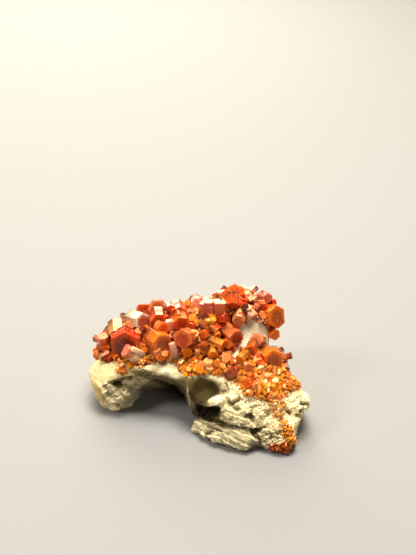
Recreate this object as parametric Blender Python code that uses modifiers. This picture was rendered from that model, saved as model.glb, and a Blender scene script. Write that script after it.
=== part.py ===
"""Vanadinite on matrix: a hand-sized piece of pale rock whose upper side is overgrown with
short six-sided crystals.

The specimen stands on the worn flats of its matrix, with +Z up and its display side towards
-Y. Its outline and its crystals are laid out as the display side shows them: u runs right,
v up and w away from the viewer, in millimetres from the middle of the specimen, and shown()
turns such a place into the row frame.
"""

import math
import random

import bmesh
import bpy
from mathutils import Matrix, Vector, noise
from mathutils.bvhtree import BVHTree

MM = 0.001

# How the display side is seen, which is how the layout below is read.
SIGHT_ELEVATION = 33.0  # degrees above the surface that the specimen stands on
SIGHT_DISTANCE = 411.0  # mm from the eye to the middle of the specimen
MIDDLE = Vector((0.45, -3.9, 18.9))  # mm, the middle of the layout in the row frame

# The rock.
ROCK_VOXEL = 0.8  # mm, how finely its lumps are merged
ROCK_TRIANGLES = 2300
SOFTENING = 10  # passes of smoothing over the creases between lumps
WEATHERED_OFF = 0.45  # mm, taken off all over, so that the roughness stays within the outline
UNDERSIDE = 0.0  # mm, the level at which the feet are worn flat

# The crystal crust.
GAP = 0.32  # mm left between the crust and the rock that it grows on
CRUST_THICKNESS = 1.3  # mm, the ground of small crystals between the large ones
SKIN_VOXEL = 1.0  # mm
CRUST_TRIANGLES = 1500  # in the whole skin, of which the crust covers less than half
CRUST_REACH = 21.0  # mm behind the middle at which the crust ends, past the skyline
CRUST_FOOT = (10.5, 0.4)  # mm above the feet below which the crust ends, and its rise to the back
DRUSE_FOOT = 0.5  # mm
SMALL_CRYSTALS = 26
SMALL_ACROSS = (1.3, 2.3)  # mm

# (name, x and y from the middle, height of the centre, radii along x, y and z, turn in degrees)
LUMPS = [
    ("left_lobe", -28.4, 10.5, 7.0, 10.2, 10.8, 11.5, 0),
    ("left_rise", -20.0, 19.0, 13.0, 16.0, 11.5, 14.5, 10),
    ("middle_rise", -4.0, 17.0, 14.5, 20.0, 14.0, 16.5, 0),
    ("rim", -9.0, 9.0, 16.0, 20.0, 10.5, 5.5, 6),
    ("summit", 13.5, 19.0, 19.0, 14.0, 11.0, 17.5, 0),
    ("flank", 11.0, 12.5, 14.0, 14.0, 12.0, 13.5, 0),
    ("saddle", 13.0, 5.0, 12.0, 14.5, 14.0, 12.0, 0),
    ("junction", 0.0, 2.0, 12.5, 9.0, 11.0, 7.5, 0),
    ("front_mass", 14.5, -4.0, 8.0, 18.5, 14.0, 12.5, -8),
    ("front_face", 19.0, -9.0, 7.0, 13.0, 9.5, 9.5, 0),
    ("right_slope", 23.0, 5.0, 9.0, 10.0, 17.0, 12.0, 0),
    ("right_shoulder", 30.5, -4.5, 7.5, 7.5, 9.5, 8.5, 0),
    ("toe_ledge", 9.5, -14.0, 1.5, 14.0, 6.0, 6.0, -27),
    ("corner_toe", 25.0, -13.5, 3.5, 9.0, 8.5, 8.0, 0),
    ("back", 0.0, 21.0, 9.0, 31.0, 10.0, 17.0, 0),
    ("belly", 14.0, 7.5, 3.5, 16.0, 11.0, 9.0, 0),
]

# The outline of the bare rock as the display side shows it, u and v.
OUTLINE = [
    (-37.0, 1.5), (-36.3, 3.8), (-34.8, 5.3), (-33.0, 6.8), (-31.0, 9.6), (-28.0, 12.4),
    (-24.6, 14.8), (-20.3, 17.0), (-16.0, 18.6), (-11.0, 18.6), (-6.0, 19.4), (-1.0, 20.3),
    (4.0, 21.9), (8.0, 23.0), (13.0, 24.2), (17.3, 23.2), (21.3, 21.2), (23.2, 18.6),
    (23.3, 14.6), (23.2, 11.3), (22.6, 9.9), (23.6, 6.4), (26.0, 3.0), (27.6, -1.0),
    (28.8, -4.0), (30.2, -3.8), (32.3, -5.6), (34.0, -6.7), (35.6, -8.0), (36.4, -9.6),
    (37.0, -11.4), (36.3, -12.7), (35.0, -13.7), (34.0, -14.4), (34.6, -15.4), (34.0, -17.0),
    (32.7, -17.7), (32.3, -20.3), (32.0, -23.0), (31.2, -25.0), (29.8, -26.4), (27.4, -27.2),
    (22.8, -26.8), (19.1, -25.0), (17.6, -25.4), (16.4, -26.8), (14.7, -27.1), (10.6, -26.1),
    (7.4, -25.1), (4.0, -24.0), (0.6, -22.0), (-2.0, -21.0), (-4.6, -20.2), (-12.0, -19.0),
    (-20.0, -17.0), (-26.4, -15.0), (-27.5, -14.8), (-30.7, -13.1), (-32.4, -11.7),
    (-33.8, -10.3), (-35.1, -7.7), (-36.1, -5.4), (-36.5, -2.7), (-37.1, 0.0),
]

# The mouth of the arch beneath, u and v, and how far in it keeps that shape.
ARCH_MOUTH = [
    (-4.4, -8.6), (-6.6, -6.0), (-9.4, -4.8), (-11.7, -3.8), (-14.3, -3.2), (-17.0, -3.4),
    (-18.8, -4.8), (-21.4, -6.6), (-23.0, -8.7), (-25.4, -11.2), (-26.2, -14.1),
    (-26.0, -24.0), (-5.2, -24.0), (-5.8, -17.0), (-5.2, -12.0),
]
ARCH_DEPTH = 14.0

# (name, u, v, w, radii along u, v and w, turn in degrees), hollows weathered or broken out
HOLLOWS = [
    ("scoop", 1.8, -7.0, -8.0, 5.0, 4.2, 6.0, -4),
    ("crevice", 9.5, -19.4, -11.5, 9.0, 1.1, 6.0, -16),
    ("cave", 1.5, -14.0, -8.5, 5.4, 3.2, 6.5, -12),
    ("toe_notch", 18.4, -24.2, -11.0, 1.0, 3.0, 6.0, -30),
]

# The chamber behind it: x and y from the middle, height, radii and turn, in the row frame.
CHAMBER = ("chamber", -13.0, 3.0, 0.0, 9.5, 13.0, 11.5, 8)

# The crystals that the display side shows. Each row holds u and v of the middle of its end
# face, its width across corners, its length, which way that end faces (right, up and towards
# the viewer), its spin (0 has a corner uppermost) and how far it stands off the rock.
CRYSTALS = [
    # left end
    (-24.7, 7.7, 12.4, 3.6, 0.0, -0.55, 0.83, 0, 3.2),
    (-32.7, 7.0, 6.2, 3.2, -0.70, -0.10, 0.70, 30, 2.6),
    (-26.9, 11.6, 5.4, 4.6, 0.22, -0.85, 0.47, 0, 3.0),
    (-18.7, 16.0, 6.6, 7.5, 0.62, -0.15, 0.77, 12, 4.2),
    (-23.7, 14.3, 5.2, 5.0, -0.15, 0.45, 0.88, 10, 3.0),
    (-20.3, 13.0, 3.4, 3.5, 0.20, 0.30, 0.93, 20, 4.0),
    (-24.0, 6.7, 4.2, 8.0, -0.70, 0.50, 0.50, 20, 6.2),
    (-22.3, 3.0, 3.4, 4.0, 0.0, -0.30, 0.95, 0, 2.0),
    (-32.3, 3.7, 2.2, 2.4, -0.2, -0.3, 0.93, 10, 1.0),
    (-30.6, 5.6, 2.2, 3.0, 0.1, -0.2, 0.97, 25, 1.8),
    (-27.3, 3.7, 3.0, 3.0, 0.0, -0.4, 0.90, 0, 1.5),
    (-20.0, 7.9, 2.6, 3.2, 0.1, 0.3, 0.95, 15, 3.0),
    (-18.2, 6.4, 2.4, 3.2, -0.1, 0.4, 0.90, 0, 2.6),
    # top left
    (-18.7, 19.5, 5.6, 4.5, -0.20, 0.10, 0.97, 30, 1.2),
    (-13.9, 19.7, 6.2, 4.5, 0.10, 0.0, 1.0, 30, 1.6),
    (-13.6, 16.4, 7.2, 5.5, 0.12, -0.35, 0.93, 30, 4.0),
    (-7.0, 17.8, 7.6, 6.5, 0.10, -0.45, 0.88, -5, 3.4),
    (-3.9, 22.0, 2.8, 3.0, 0.2, 0.3, 0.93, 10, 1.0),
    (-3.6, 19.4, 2.6, 3.0, 0.0, 0.0, 1.0, 30, 2.2),
    (-0.8, 21.9, 4.3, 5.0, 0.05, 0.50, 0.85, 20, 2.0),
    (-6.0, 14.9, 6.2, 5.0, 0.10, -0.40, 0.91, -5, 3.8),
    (-2.3, 17.2, 3.6, 4.0, 0.0, 0.20, 0.98, 30, 2.8),
    (-10.0, 16.2, 3.0, 5.5, -0.10, 0.85, 0.50, 0, 4.6),
    (-13.6, 15.0, 4.0, 3.5, 0.10, 0.30, 0.95, 0, 4.8),
    (-12.0, 13.3, 5.2, 4.0, 0.20, -0.20, 0.96, 20, 3.8),
    (-0.5, 15.2, 2.6, 3.0, 0.1, 0.2, 0.97, 10, 2.2),
    # middle
    (-12.0, 8.6, 8.2, 6.8, 0.45, -0.35, 0.82, 30, 5.0),
    (-5.7, 9.8, 7.6, 7.0, -0.42, -0.10, 0.90, 4, 5.0),
    (-1.3, 11.9, 3.6, 4.0, 0.10, 0.45, 0.89, 20, 4.2),
    (-3.0, 13.8, 3.6, 4.0, -0.2, -0.3, 0.93, 10, 2.6),
    (-14.7, 6.8, 5.4, 7.0, -0.10, 0.60, 0.79, 28, 5.4),
    (-11.7, 5.4, 3.2, 5.5, 0.20, 0.60, 0.77, 0, 4.0),
    (-9.0, 9.2, 2.8, 5.4, -0.30, 0.85, 0.43, 15, 5.6),
    (-4.1, 5.3, 5.4, 4.5, 0.0, -0.20, 0.98, 30, 3.0),
    (-0.6, 6.2, 2.2, 3.0, 0.2, 0.4, 0.90, 0, 2.4),
    # upper middle, the striated column and the summit
    (4.3, 22.6, 6.6, 7.0, 0.0, 0.88, 0.47, 30, 3.2),
    (2.0, 21.9, 2.9, 6.8, -0.05, 0.88, 0.47, 30, 4.2),
    (6.4, 21.9, 2.9, 6.8, 0.06, 0.88, 0.47, 30, 4.2),
    (2.7, 17.4, 2.4, 3.0, 0.0, 0.2, 0.98, 0, 4.4),
    (4.8, 17.4, 2.4, 3.0, 0.1, 0.3, 0.95, 30, 4.4),
    (5.6, 24.2, 3.3, 3.5, -0.2, 0.1, 0.97, 15, 1.0),
    (7.8, 23.6, 2.4, 3.0, 0.0, 0.4, 0.92, 0, 2.0),
    (13.2, 25.2, 10.6, 5.5, 0.0, 0.86, 0.51, -7, 1.8),
    (11.4, 20.8, 6.6, 5.5, 0.10, -0.50, 0.86, 19, 4.4),
    (8.7, 20.6, 2.2, 3.0, -0.1, 0.1, 1.0, 0, 3.2),
    (18.0, 25.0, 3.2, 3.5, 0.60, 0.45, 0.66, 10, 1.0),
    (16.7, 23.6, 3.4, 4.0, 0.20, 0.10, 0.97, 20, 2.6),
    (15.0, 21.8, 3.2, 4.0, -0.1, -0.3, 0.95, 0, 2.4),
    (9.3, 17.0, 4.4, 4.5, 0.0, -0.20, 0.98, 20, 2.6),
    (12.6, 15.4, 5.4, 5.4, 0.0, -0.52, 0.85, 0, 4.8),
    (16.3, 20.6, 3.0, 4.2, -0.15, 0.75, 0.64, 0, 3.2),
    (17.8, 17.8, 2.8, 3.0, 0.2, -0.3, 0.93, 10, 2.2),
    (3.3, 14.0, 6.6, 4.5, 0.05, -0.50, 0.86, 8, 3.4),
    (6.6, 12.7, 4.6, 4.0, 0.1, -0.40, 0.91, 15, 3.0),
    (1.0, 11.4, 3.8, 4.2, -0.1, -0.30, 0.95, 0, 3.6),
    (6.3, 10.7, 3.2, 3.5, 0.0, -0.10, 1.0, 0, 3.4),
    (12.1, 10.4, 5.8, 5.8, 0.42, -0.42, 0.80, 10, 4.2),
    (8.1, 7.8, 3.8, 5.8, 0.88, -0.25, 0.40, 0, 3.0),
    (9.1, 8.4, 3.9, 4.2, 0.05, 0.30, 0.95, 0, 3.2),
    (10.4, 7.0, 3.2, 3.5, 0.0, -0.40, 0.92, 10, 1.8),
    (4.7, 4.2, 3.9, 4.0, 0.05, -0.45, 0.89, 36, 3.0),
    (2.0, 5.3, 2.4, 3.0, 0.1, 0.2, 0.97, 10, 2.2),
    (0.0, 4.3, 2.2, 3.0, -0.1, 0.1, 0.99, 20, 2.0),
    (9.0, 4.0, 4.7, 4.4, -0.10, 0.50, 0.86, 15, 3.2),
    (3.0, 2.8, 4.5, 3.0, 0.0, 0.78, 0.62, 30, 3.2),
    (0.2, 0.1, 3.7, 3.5, -0.10, 0.20, 0.97, 10, 2.4),
    (3.3, 0.4, 2.8, 3.0, 0.10, 0.50, 0.86, 0, 2.2),
    (6.0, 1.8, 2.9, 3.0, 0.1, 0.2, 0.97, 20, 2.6),
    (7.9, 1.2, 2.7, 3.0, 0.2, 0.60, 0.77, 0, 3.0),
    (11.9, -0.7, 5.0, 4.6, -0.38, 0.30, 0.87, 0, 4.0),
    # above and below the bare saddle, and down the right edge
    (12.2, 2.6, 3.2, 4.2, -0.62, -0.45, 0.64, 10, 3.4),
    (16.0, 4.3, 3.5, 4.0, 0.1, -0.1, 0.99, 0, 3.2),
    (16.3, -0.4, 3.6, 4.0, 0.0, 0.2, 0.98, 10, 3.5),
    (17.6, 2.0, 3.2, 3.5, 0.3, 0.4, 0.87, 20, 2.8),
    (20.0, 23.0, 4.2, 4.2, -0.1, 0.3, 0.95, 0, 1.8),
    (22.8, 23.2, 4.4, 4.2, 0.25, 0.3, 0.92, 0, 2.0),
    (25.0, 22.2, 2.6, 3.0, 0.6, 0.2, 0.77, 10, 0.8),
    (21.0, 20.3, 4.2, 4.4, 0.0, -0.5, 0.87, 30, 3.6),
    (25.9, 17.3, 8.2, 6.5, 0.22, 0.0, 0.98, 3, 2.4),
    (24.6, 11.5, 4.4, 4.5, 0.40, -0.30, 0.87, 12, 1.5),
    (21.3, 18.0, 3.5, 3.6, 0.1, 0.2, 0.97, 20, 3.0),
    (20.4, 16.2, 2.2, 2.6, 0.0, 0.1, 1.0, 0, 1.6),
    (22.4, 15.4, 2.0, 2.6, 0.1, 0.2, 0.98, 15, 1.4),
    (19.0, 9.4, 5.6, 5.2, -0.20, 0.22, 0.95, 15, 3.4),
    (17.0, 6.4, 4.3, 4.2, 0.0, -0.40, 0.92, 0, 4.4),
    (25.1, 2.0, 8.0, 6.0, 0.20, -0.15, 0.97, 12, 2.8),
    (21.0, 5.0, 3.2, 3.5, 0.1, 0.1, 0.99, 20, 2.4),
    (19.4, 3.4, 2.9, 3.0, 0.2, 0.5, 0.84, 0, 2.4),
    (20.4, 0.7, 2.9, 3.0, 0.0, 0.6, 0.80, 10, 2.8),
    (22.7, -0.3, 2.4, 3.0, 0.1, 0.2, 0.97, 0, 2.4),
    (22.6, -2.0, 2.2, 2.6, 0.1, 0.3, 0.95, 20, 2.2),
    (27.8, -2.0, 3.2, 3.4, 0.2, -0.2, 0.96, 10, 1.8),
    (28.9, -2.2, 2.7, 3.2, 0.5, 0.2, 0.84, 0, 0.8),
    (15.7, -4.8, 3.9, 3.6, 0.0, -0.1, 1.0, 20, 2.2),
    (15.0, -3.2, 2.5, 3.0, 0.1, 0.4, 0.91, 0, 2.4),
    (17.4, -2.8, 2.8, 3.0, 0.1, -0.2, 0.97, 10, 2.0),
    (20.7, -2.5, 2.6, 3.0, 0.0, 0.3, 0.95, 20, 2.0),
    (22.3, -5.3, 2.6, 3.0, 0.1, 0.2, 0.97, 0, 1.8),
    (18.8, -5.8, 2.4, 3.0, 0.0, 0.1, 1.0, 15, 1.6),
    (25.2, -3.8, 2.6, 3.0, 0.2, 0.1, 0.97, 10, 1.8),
    (26.9, -5.6, 2.6, 3.0, 0.2, 0.1, 0.97, 20, 1.6),
    (24.0, -6.6, 2.4, 3.0, 0.1, 0.1, 0.99, 0, 1.4),
    # along the front rim
    (-5.6, 0.7, 2.2, 2.8, 0.0, 0.2, 0.98, 0, 1.4),
    (-3.6, 0.2, 2.4, 2.8, 0.1, 0.1, 0.99, 20, 1.5),
    (-1.9, 0.9, 2.2, 2.8, 0.0, 0.3, 0.95, 10, 1.6),
    (-4.9, -1.8, 2.0, 2.4, -0.1, 0.0, 1.0, 15, 1.0),
]
# The crystals on the far side of the skyline: x and y from the middle, width across
# corners, length, how far each leans from square to the rock along x and y, and its spin.
FAR_CRYSTALS = [
    (-30.0, 20.5, 4.6, 5.0, -0.2, 0.3, 10),
    (-24.5, 25.0, 5.2, 5.5, 0.1, 0.2, 35),
    (-19.0, 26.5, 4.4, 5.0, -0.3, 0.4, 0),
    (-13.0, 27.5, 5.6, 5.5, 0.2, 0.3, 20),
    (-6.5, 28.0, 4.8, 5.0, -0.1, 0.5, 45),
    (-1.0, 27.0, 5.0, 5.5, 0.3, 0.2, 15),
    (5.0, 27.5, 4.2, 5.0, -0.2, 0.4, 30),
    (10.0, 28.0, 5.4, 5.5, 0.1, 0.3, 5),
    (16.0, 27.0, 4.6, 5.0, 0.2, 0.5, 25),
    (21.5, 24.0, 4.4, 5.0, 0.4, 0.1, 50),
    (24.0, 19.5, 3.8, 4.5, 0.4, -0.1, 10),
    (-16.5, 24.0, 4.2, 5.0, 0.3, -0.2, 12),
    (-9.5, 25.0, 4.4, 5.0, -0.2, -0.1, 40),
    (2.0, 25.0, 4.0, 4.6, 0.1, -0.3, 8),
]

# Where the ground of small crystals shows, and carries a scatter of its own.
SMALL_AREA = [
    (14.0, -5.6), (17.0, -4.6), (21.0, -3.6), (24.6, -4.6), (28.4, -5.4), (32.0, -6.6),
    (28.2, -9.0), (27.6, -12.6), (27.4, -16.2), (25.4, -16.6), (23.4, -12.8), (20.6, -10.4),
    (17.0, -9.4), (14.8, -8.0),
]

# Where the crust covers the rock, u and v, with the bare saddle left out of it.
CRUST_AREA = [
    (-34.6, 4.2), (-31.3, 3.0), (-26.0, 2.6), (-22.7, 1.0), (-18.0, 0.9), (-13.6, 1.3),
    (-10.6, 1.6), (-8.4, 0.6), (-6.2, -2.4), (-2.0, -2.7), (2.0, -2.7), (5.0, -2.2),
    (8.6, -3.0), (11.6, -4.0), (13.8, -6.6), (15.0, -8.8), (17.4, -10.2), (20.6, -11.0),
    (22.8, -13.2), (24.0, -15.8), (26.4, -17.6), (27.6, -16.6), (28.0, -13.0), (28.6, -9.4),
    (31.2, -7.6), (33.8, -7.4), (31.0, -4.4), (29.8, -1.0), (28.4, 2.2), (26.6, 5.4),
    (22.4, 5.8), (22.3, 9.0), (21.9, 12.2), (18.0, 12.6), (15.4, 11.2), (13.6, 7.4),
    (11.4, 3.4), (9.9, 4.2), (10.8, 7.0), (12.8, 11.4), (14.2, 14.6), (16.6, 15.8),
    (20.8, 15.0), (22.4, 12.2), (25.4, 13.0), (28.0, 20.0), (26.0, 27.0), (13.0, 31.0),
    (0.0, 28.0), (-20.0, 26.0), (-33.0, 14.4), (-34.9, 8.0),
]

# The patch of druse at the lower right corner and the small one on the left lobe.
CORNER_AREA = [
    (26.6, -18.2), (28.4, -17.6), (30.2, -20.0), (31.6, -23.6), (33.0, -27.0), (29.0, -30.0),
    (22.0, -29.0), (22.6, -25.6), (26.4, -24.8), (28.2, -23.6), (27.4, -21.0),
]
LOBE_AREA = [(-28.6, -1.2), (-27.2, 0.4), (-24.8, 0.6), (-24.0, -0.8), (-26.4, -2.2)]


def display_axes():
    """The u, v and w directions of the display side in the row frame."""
    tilt = math.radians(SIGHT_ELEVATION)
    across = Vector((1, 0, 0))
    up = Vector((0, math.sin(tilt), math.cos(tilt)))
    away = Vector((0, math.cos(tilt), -math.sin(tilt)))
    return across, up, away


def turned(direction):
    """A direction given along u, v and w, in the row frame."""
    across, up, away = display_axes()
    return across * direction[0] + up * direction[1] + away * direction[2]


def shown(u, v, w):
    """The point in the row frame, in metres, seen at (u, v) and lying w behind the middle."""
    spread = (SIGHT_DISTANCE + w) / SIGHT_DISTANCE
    return (MIDDLE + turned((u * spread, v * spread, w))) * MM


def clear_scene():
    for obj in list(bpy.data.objects):
        bpy.data.objects.remove(obj, do_unlink=True)


def object_from(bm, name, collection):
    mesh = bpy.data.meshes.new(name)
    bm.to_mesh(mesh)
    bm.free()
    obj = bpy.data.objects.new(name, mesh)
    collection.objects.link(obj)
    return obj


def baked(obj):
    """The object with its mesh replaced by what its modifiers make of it."""
    bpy.context.view_layer.update()
    graph = bpy.context.evaluated_depsgraph_get()
    mesh = bpy.data.meshes.new_from_object(obj.evaluated_get(graph))
    obj.modifiers.clear()
    old, obj.data = obj.data, mesh
    bpy.data.meshes.remove(old)
    return obj


def remeshed(obj, voxel):
    modifier = obj.modifiers.new("merge", "REMESH")
    modifier.mode = "VOXEL"
    modifier.voxel_size = voxel * MM
    return baked(obj)


def facet(obj, triangles):
    """Thins the mesh to about that many triangles."""
    thin = obj.modifiers.new("facets", "DECIMATE")
    thin.ratio = triangles / (2 * len(obj.data.polygons))
    return baked(obj)


def boolean(obj, other, operation):
    modifier = obj.modifiers.new(operation.lower(), "BOOLEAN")
    modifier.operation = operation
    modifier.solver = "EXACT"
    modifier.object = other
    return modifier


def add_lump(bm, place, axes, radii, turn):
    """An ellipsoid at place, its radii along the three axes, turned about the third or the view."""
    basis = Matrix(axes).transposed().to_4x4()
    spin = Matrix.Rotation(math.radians(turn), 4, "Z")
    scale = Matrix.Diagonal((*(r * MM for r in radii), 1.0))
    bmesh.ops.create_icosphere(
        bm, subdivisions=4, radius=1.0, matrix=Matrix.Translation(place) @ basis @ spin @ scale
    )


def add_standing_lump(bm, lump):
    _, x, y, height, rx, ry, rz, turn = lump
    place = Vector((MIDDLE.x + x, MIDDLE.y + y, height)) * MM
    add_lump(bm, place, Matrix.Identity(3), (rx, ry, rz), turn)


def outline_prism(name, outline, far_depth, collection):
    """The outline drawn out along the line of sight, narrowing towards the eye."""
    bm = bmesh.new()
    near = [bm.verts.new(shown(u, v, -70.0)) for u, v in outline]
    face = bm.faces.new(near)
    made = bmesh.ops.extrude_face_region(bm, geom=[face])
    far = [item for item in made["geom"] if isinstance(item, bmesh.types.BMVert)]
    eye = (MIDDLE - turned((0, 0, SIGHT_DISTANCE))) * MM
    reach = (SIGHT_DISTANCE + far_depth) / (SIGHT_DISTANCE - 70.0)
    for vert in far:
        vert.co = eye + (vert.co - eye) * reach
    bmesh.ops.recalc_face_normals(bm, faces=bm.faces)
    prism = object_from(bm, name, collection)
    hide_cutter(prism)
    return prism


def hide_cutter(obj):
    obj.hide_render = True
    obj.display_type = "WIRE"


def rock_blank(parts, cutters):
    """The lumps grown together, trimmed to the outline and hollowed, before weathering."""
    bm = bmesh.new()
    for lump in LUMPS:
        add_standing_lump(bm, lump)
    blank = remeshed(object_from(bm, "matrix", parts), ROCK_VOXEL)
    prism = outline_prism("outline_cutter", OUTLINE, 90.0, cutters)
    mouth = outline_prism("arch_cutter", ARCH_MOUTH, ARCH_DEPTH, cutters)
    bm = bmesh.new()
    axes = display_axes()
    for _, u, v, w, ru, rv, rw, turn in HOLLOWS:
        add_lump(bm, shown(u, v, w), axes, (ru, rv, rw), turn)
    add_standing_lump(bm, CHAMBER)
    hollows = remeshed(object_from(bm, "hollow_cutter", cutters), ROCK_VOXEL)
    hide_cutter(hollows)
    boolean(blank, prism, "INTERSECT")
    boolean(blank, hollows, "DIFFERENCE")
    boolean(blank, mouth, "DIFFERENCE")
    baked(blank)
    remeshed(blank, ROCK_VOXEL)
    smooth = blank.modifiers.new("soften", "SMOOTH")
    smooth.iterations = SOFTENING
    smooth.factor = 0.5
    return baked(blank)


def weather(obj):
    """Roughens the surface along its normals, coarse lumps first and then broken detail."""
    mesh = obj.data
    normals = [vert.normal.copy() for vert in mesh.vertices]
    for vert, normal in zip(mesh.vertices, normals):
        place = vert.co / MM
        swell = noise.fractal(place * 0.11, 0.8, 2.0, 3) * 0.9
        broken = noise.hetero_terrain(place * 0.33, 0.7, 2.1, 4, 0.4) * 0.35
        vert.co += normal * (swell + broken - WEATHERED_OFF) * MM


def cut_flat(obj, height, slope=0.0):
    """Cuts away what lies below a plane at that height in the middle, rising towards the back."""
    bm = bmesh.new()
    bm.from_mesh(obj.data)
    geometry = list(bm.verts) + list(bm.edges) + list(bm.faces)
    bmesh.ops.bisect_plane(
        bm, geom=geometry, plane_co=(0, 0, height * MM), plane_no=(0, slope, -1),
        clear_outer=True,
    )
    rim = [edge for edge in bm.edges if edge.is_boundary]
    bmesh.ops.contextual_create(bm, geom=rim)
    bmesh.ops.recalc_face_normals(bm, faces=bm.faces)
    bm.to_mesh(obj.data)
    bm.free()
    return obj


def build_matrix(parts, cutters):
    """The rock, and a finer copy of it for the crust to follow."""
    matrix = rock_blank(parts, cutters)
    weather(matrix)
    dense = bpy.data.objects.new("dense_rock", matrix.data.copy())
    cutters.objects.link(dense)
    hide_cutter(dense)
    facet(matrix, ROCK_TRIANGLES)
    cut_flat(matrix, UNDERSIDE)
    return matrix, dense


class Rock:
    """The matrix as the crystals need it: where its surface lies and which way it faces."""

    def __init__(self, obj):
        bm = bmesh.new()
        bm.from_mesh(obj.data)
        self.tree = BVHTree.FromBMesh(bm)
        bm.free()
        self.eye = (MIDDLE - turned((0, 0, SIGHT_DISTANCE))) * MM

    def seen(self, u, v):
        """The surface point seen at (u, v), or the nearest one to that line of sight."""
        sight = (shown(u, v, 0.0) - self.eye).normalized()
        place, normal, _, _ = self.tree.ray_cast(self.eye, sight)
        if place is None:
            place, normal, _, _ = self.tree.find_nearest(shown(u, v, 8.0))
        return place, normal

    def depth(self, u, v):
        place, _ = self.seen(u, v)
        return (place / MM - MIDDLE).dot(turned((0, 0, 1)))


def add_prism(bm, end, facing, across, length, spin):
    """A six-sided prism whose end face lies at end and faces along facing."""
    up = turned((0, 1, 0)) if abs(facing.dot(turned((0, 1, 0)))) < 0.97 else turned((0, 0, 1))
    side = up.cross(facing).normalized()
    corner = Matrix.Rotation(math.radians(spin), 3, facing) @ facing.cross(side)
    basis = Matrix((corner.cross(facing), corner, facing)).transposed().to_4x4()
    middle = end - facing * (length / 2 * MM)
    bmesh.ops.create_cone(
        bm, cap_ends=True, segments=6, radius1=across / 2 * MM, radius2=across / 2 * MM,
        depth=length * MM, matrix=Matrix.Translation(middle) @ basis,
    )


def grow(obj, prisms, cutters):
    """Joins the prisms and obj into one body."""
    bunch = bpy.data.collections.new(obj.name + "_crystals")
    cutters.children.link(bunch)
    for number, prism in enumerate(prisms):
        bm = bmesh.new()
        add_prism(bm, *prism)
        hide_cutter(object_from(bm, f"{bunch.name}_{number:03d}", bunch))
    modifier = obj.modifiers.new("crystals", "BOOLEAN")
    modifier.operation = "UNION"
    modifier.operand_type = "COLLECTION"
    modifier.collection = bunch
    modifier.solver = "MANIFOLD"  # EXACT leaves an open edge where this many prisms meet
    return baked(obj)


def large_crystals(rock):
    for u, v, across, length, right, up, toward, spin, lift in CRYSTALS:
        end = shown(u, v, rock.depth(u, v) - lift)
        facing = turned((right, up, -toward)).normalized()
        yield end, facing, across, length, spin


def far_crystals(rock):
    """The crystals that reach over the skyline onto the far side, dropped from above."""
    for x, y, across, length, lean_x, lean_y, spin in FAR_CRYSTALS:
        above = Vector((MIDDLE.x + x, MIDDLE.y + y, 80.0)) * MM
        place, normal, _, _ = rock.tree.ray_cast(above, Vector((0, 0, -1)))
        facing = (normal + Vector((lean_x, lean_y, 0))).normalized()
        yield place + facing * (0.55 * length * MM), facing, across, length, spin


def inside(u, v, area):
    """Whether (u, v) lies in the polygon."""
    within = False
    for (u1, v1), (u2, v2) in zip(area, area[1:] + area[:1]):
        if (v1 > v) != (v2 > v) and u < u1 + (v - v1) * (u2 - u1) / (v2 - v1):
            within = not within
    return within


def small_crystals(rock, area, count, seed, sizes):
    """Small prisms scattered over an area, each standing roughly square to the rock."""
    scatter = random.Random(seed)
    us, vs = zip(*area)
    while count:
        u, v = scatter.uniform(min(us), max(us)), scatter.uniform(min(vs), max(vs))
        if not inside(u, v, area):
            continue
        place, normal = rock.seen(u, v)
        lean = Vector([scatter.uniform(-0.7, 0.7) for _ in range(3)])
        facing = (normal + lean).normalized()
        across = scatter.uniform(*sizes)
        end = place + normal * (CRUST_THICKNESS + 0.45 * across) * MM
        yield end, facing, across, across * 1.1 + 1.0, scatter.uniform(0, 60)
        count -= 1


def swollen(obj, name, by, collection):
    """A copy of obj grown outward by that many millimetres."""
    bm = bmesh.new()
    bm.from_mesh(obj.data)
    bm.normal_update()
    moves = [vert.normal * (by * MM * vert.calc_shell_factor()) for vert in bm.verts]
    for vert, move in zip(bm.verts, moves):
        vert.co += move
    copy = object_from(bm, name, collection)
    hide_cutter(copy)
    return copy


def keep_largest(obj):
    """Drops any scrap that a cut has left apart from the main body."""
    bm = bmesh.new()
    bm.from_mesh(obj.data)
    left = set(bm.verts)
    bodies = []
    while left:
        reached = [left.pop()]
        body = set(reached)
        while reached:
            for edge in reached.pop().link_edges:
                for vert in edge.verts:
                    if vert in left:
                        left.discard(vert)
                        body.add(vert)
                        reached.append(vert)
        bodies.append(body)
    bodies.sort(key=len)
    for body in bodies[:-1]:
        bmesh.ops.delete(bm, geom=list(body), context="VERTS")
    bm.to_mesh(obj.data)
    bm.free()


def crust_ground(name, skin, area, parts, cutters):
    """The part of the rock's thickened skin that an area covers."""
    ground = bpy.data.objects.new(name, skin.data.copy())
    parts.objects.link(ground)
    prism = outline_prism(name + "_cutter", area, CRUST_REACH, cutters)
    boolean(ground, prism, "INTERSECT")
    return baked(ground)


def free_of_rock(crust, rock_cutter):
    """Leaves the gap between the crust and the rock, and the crust in one body."""
    boolean(crust, rock_cutter, "DIFFERENCE")
    baked(crust)
    keep_largest(crust)


def druse(name, area, count, seed, skin, rock, parts, cutters):
    """A patch of small crystals on its own ground, before it is cut free of the rock."""
    patch = crust_ground(name, skin, area, parts, cutters)
    grow(patch, small_crystals(rock, area, count, seed, SMALL_ACROSS), cutters)
    return cut_flat(patch, DRUSE_FOOT)


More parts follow.
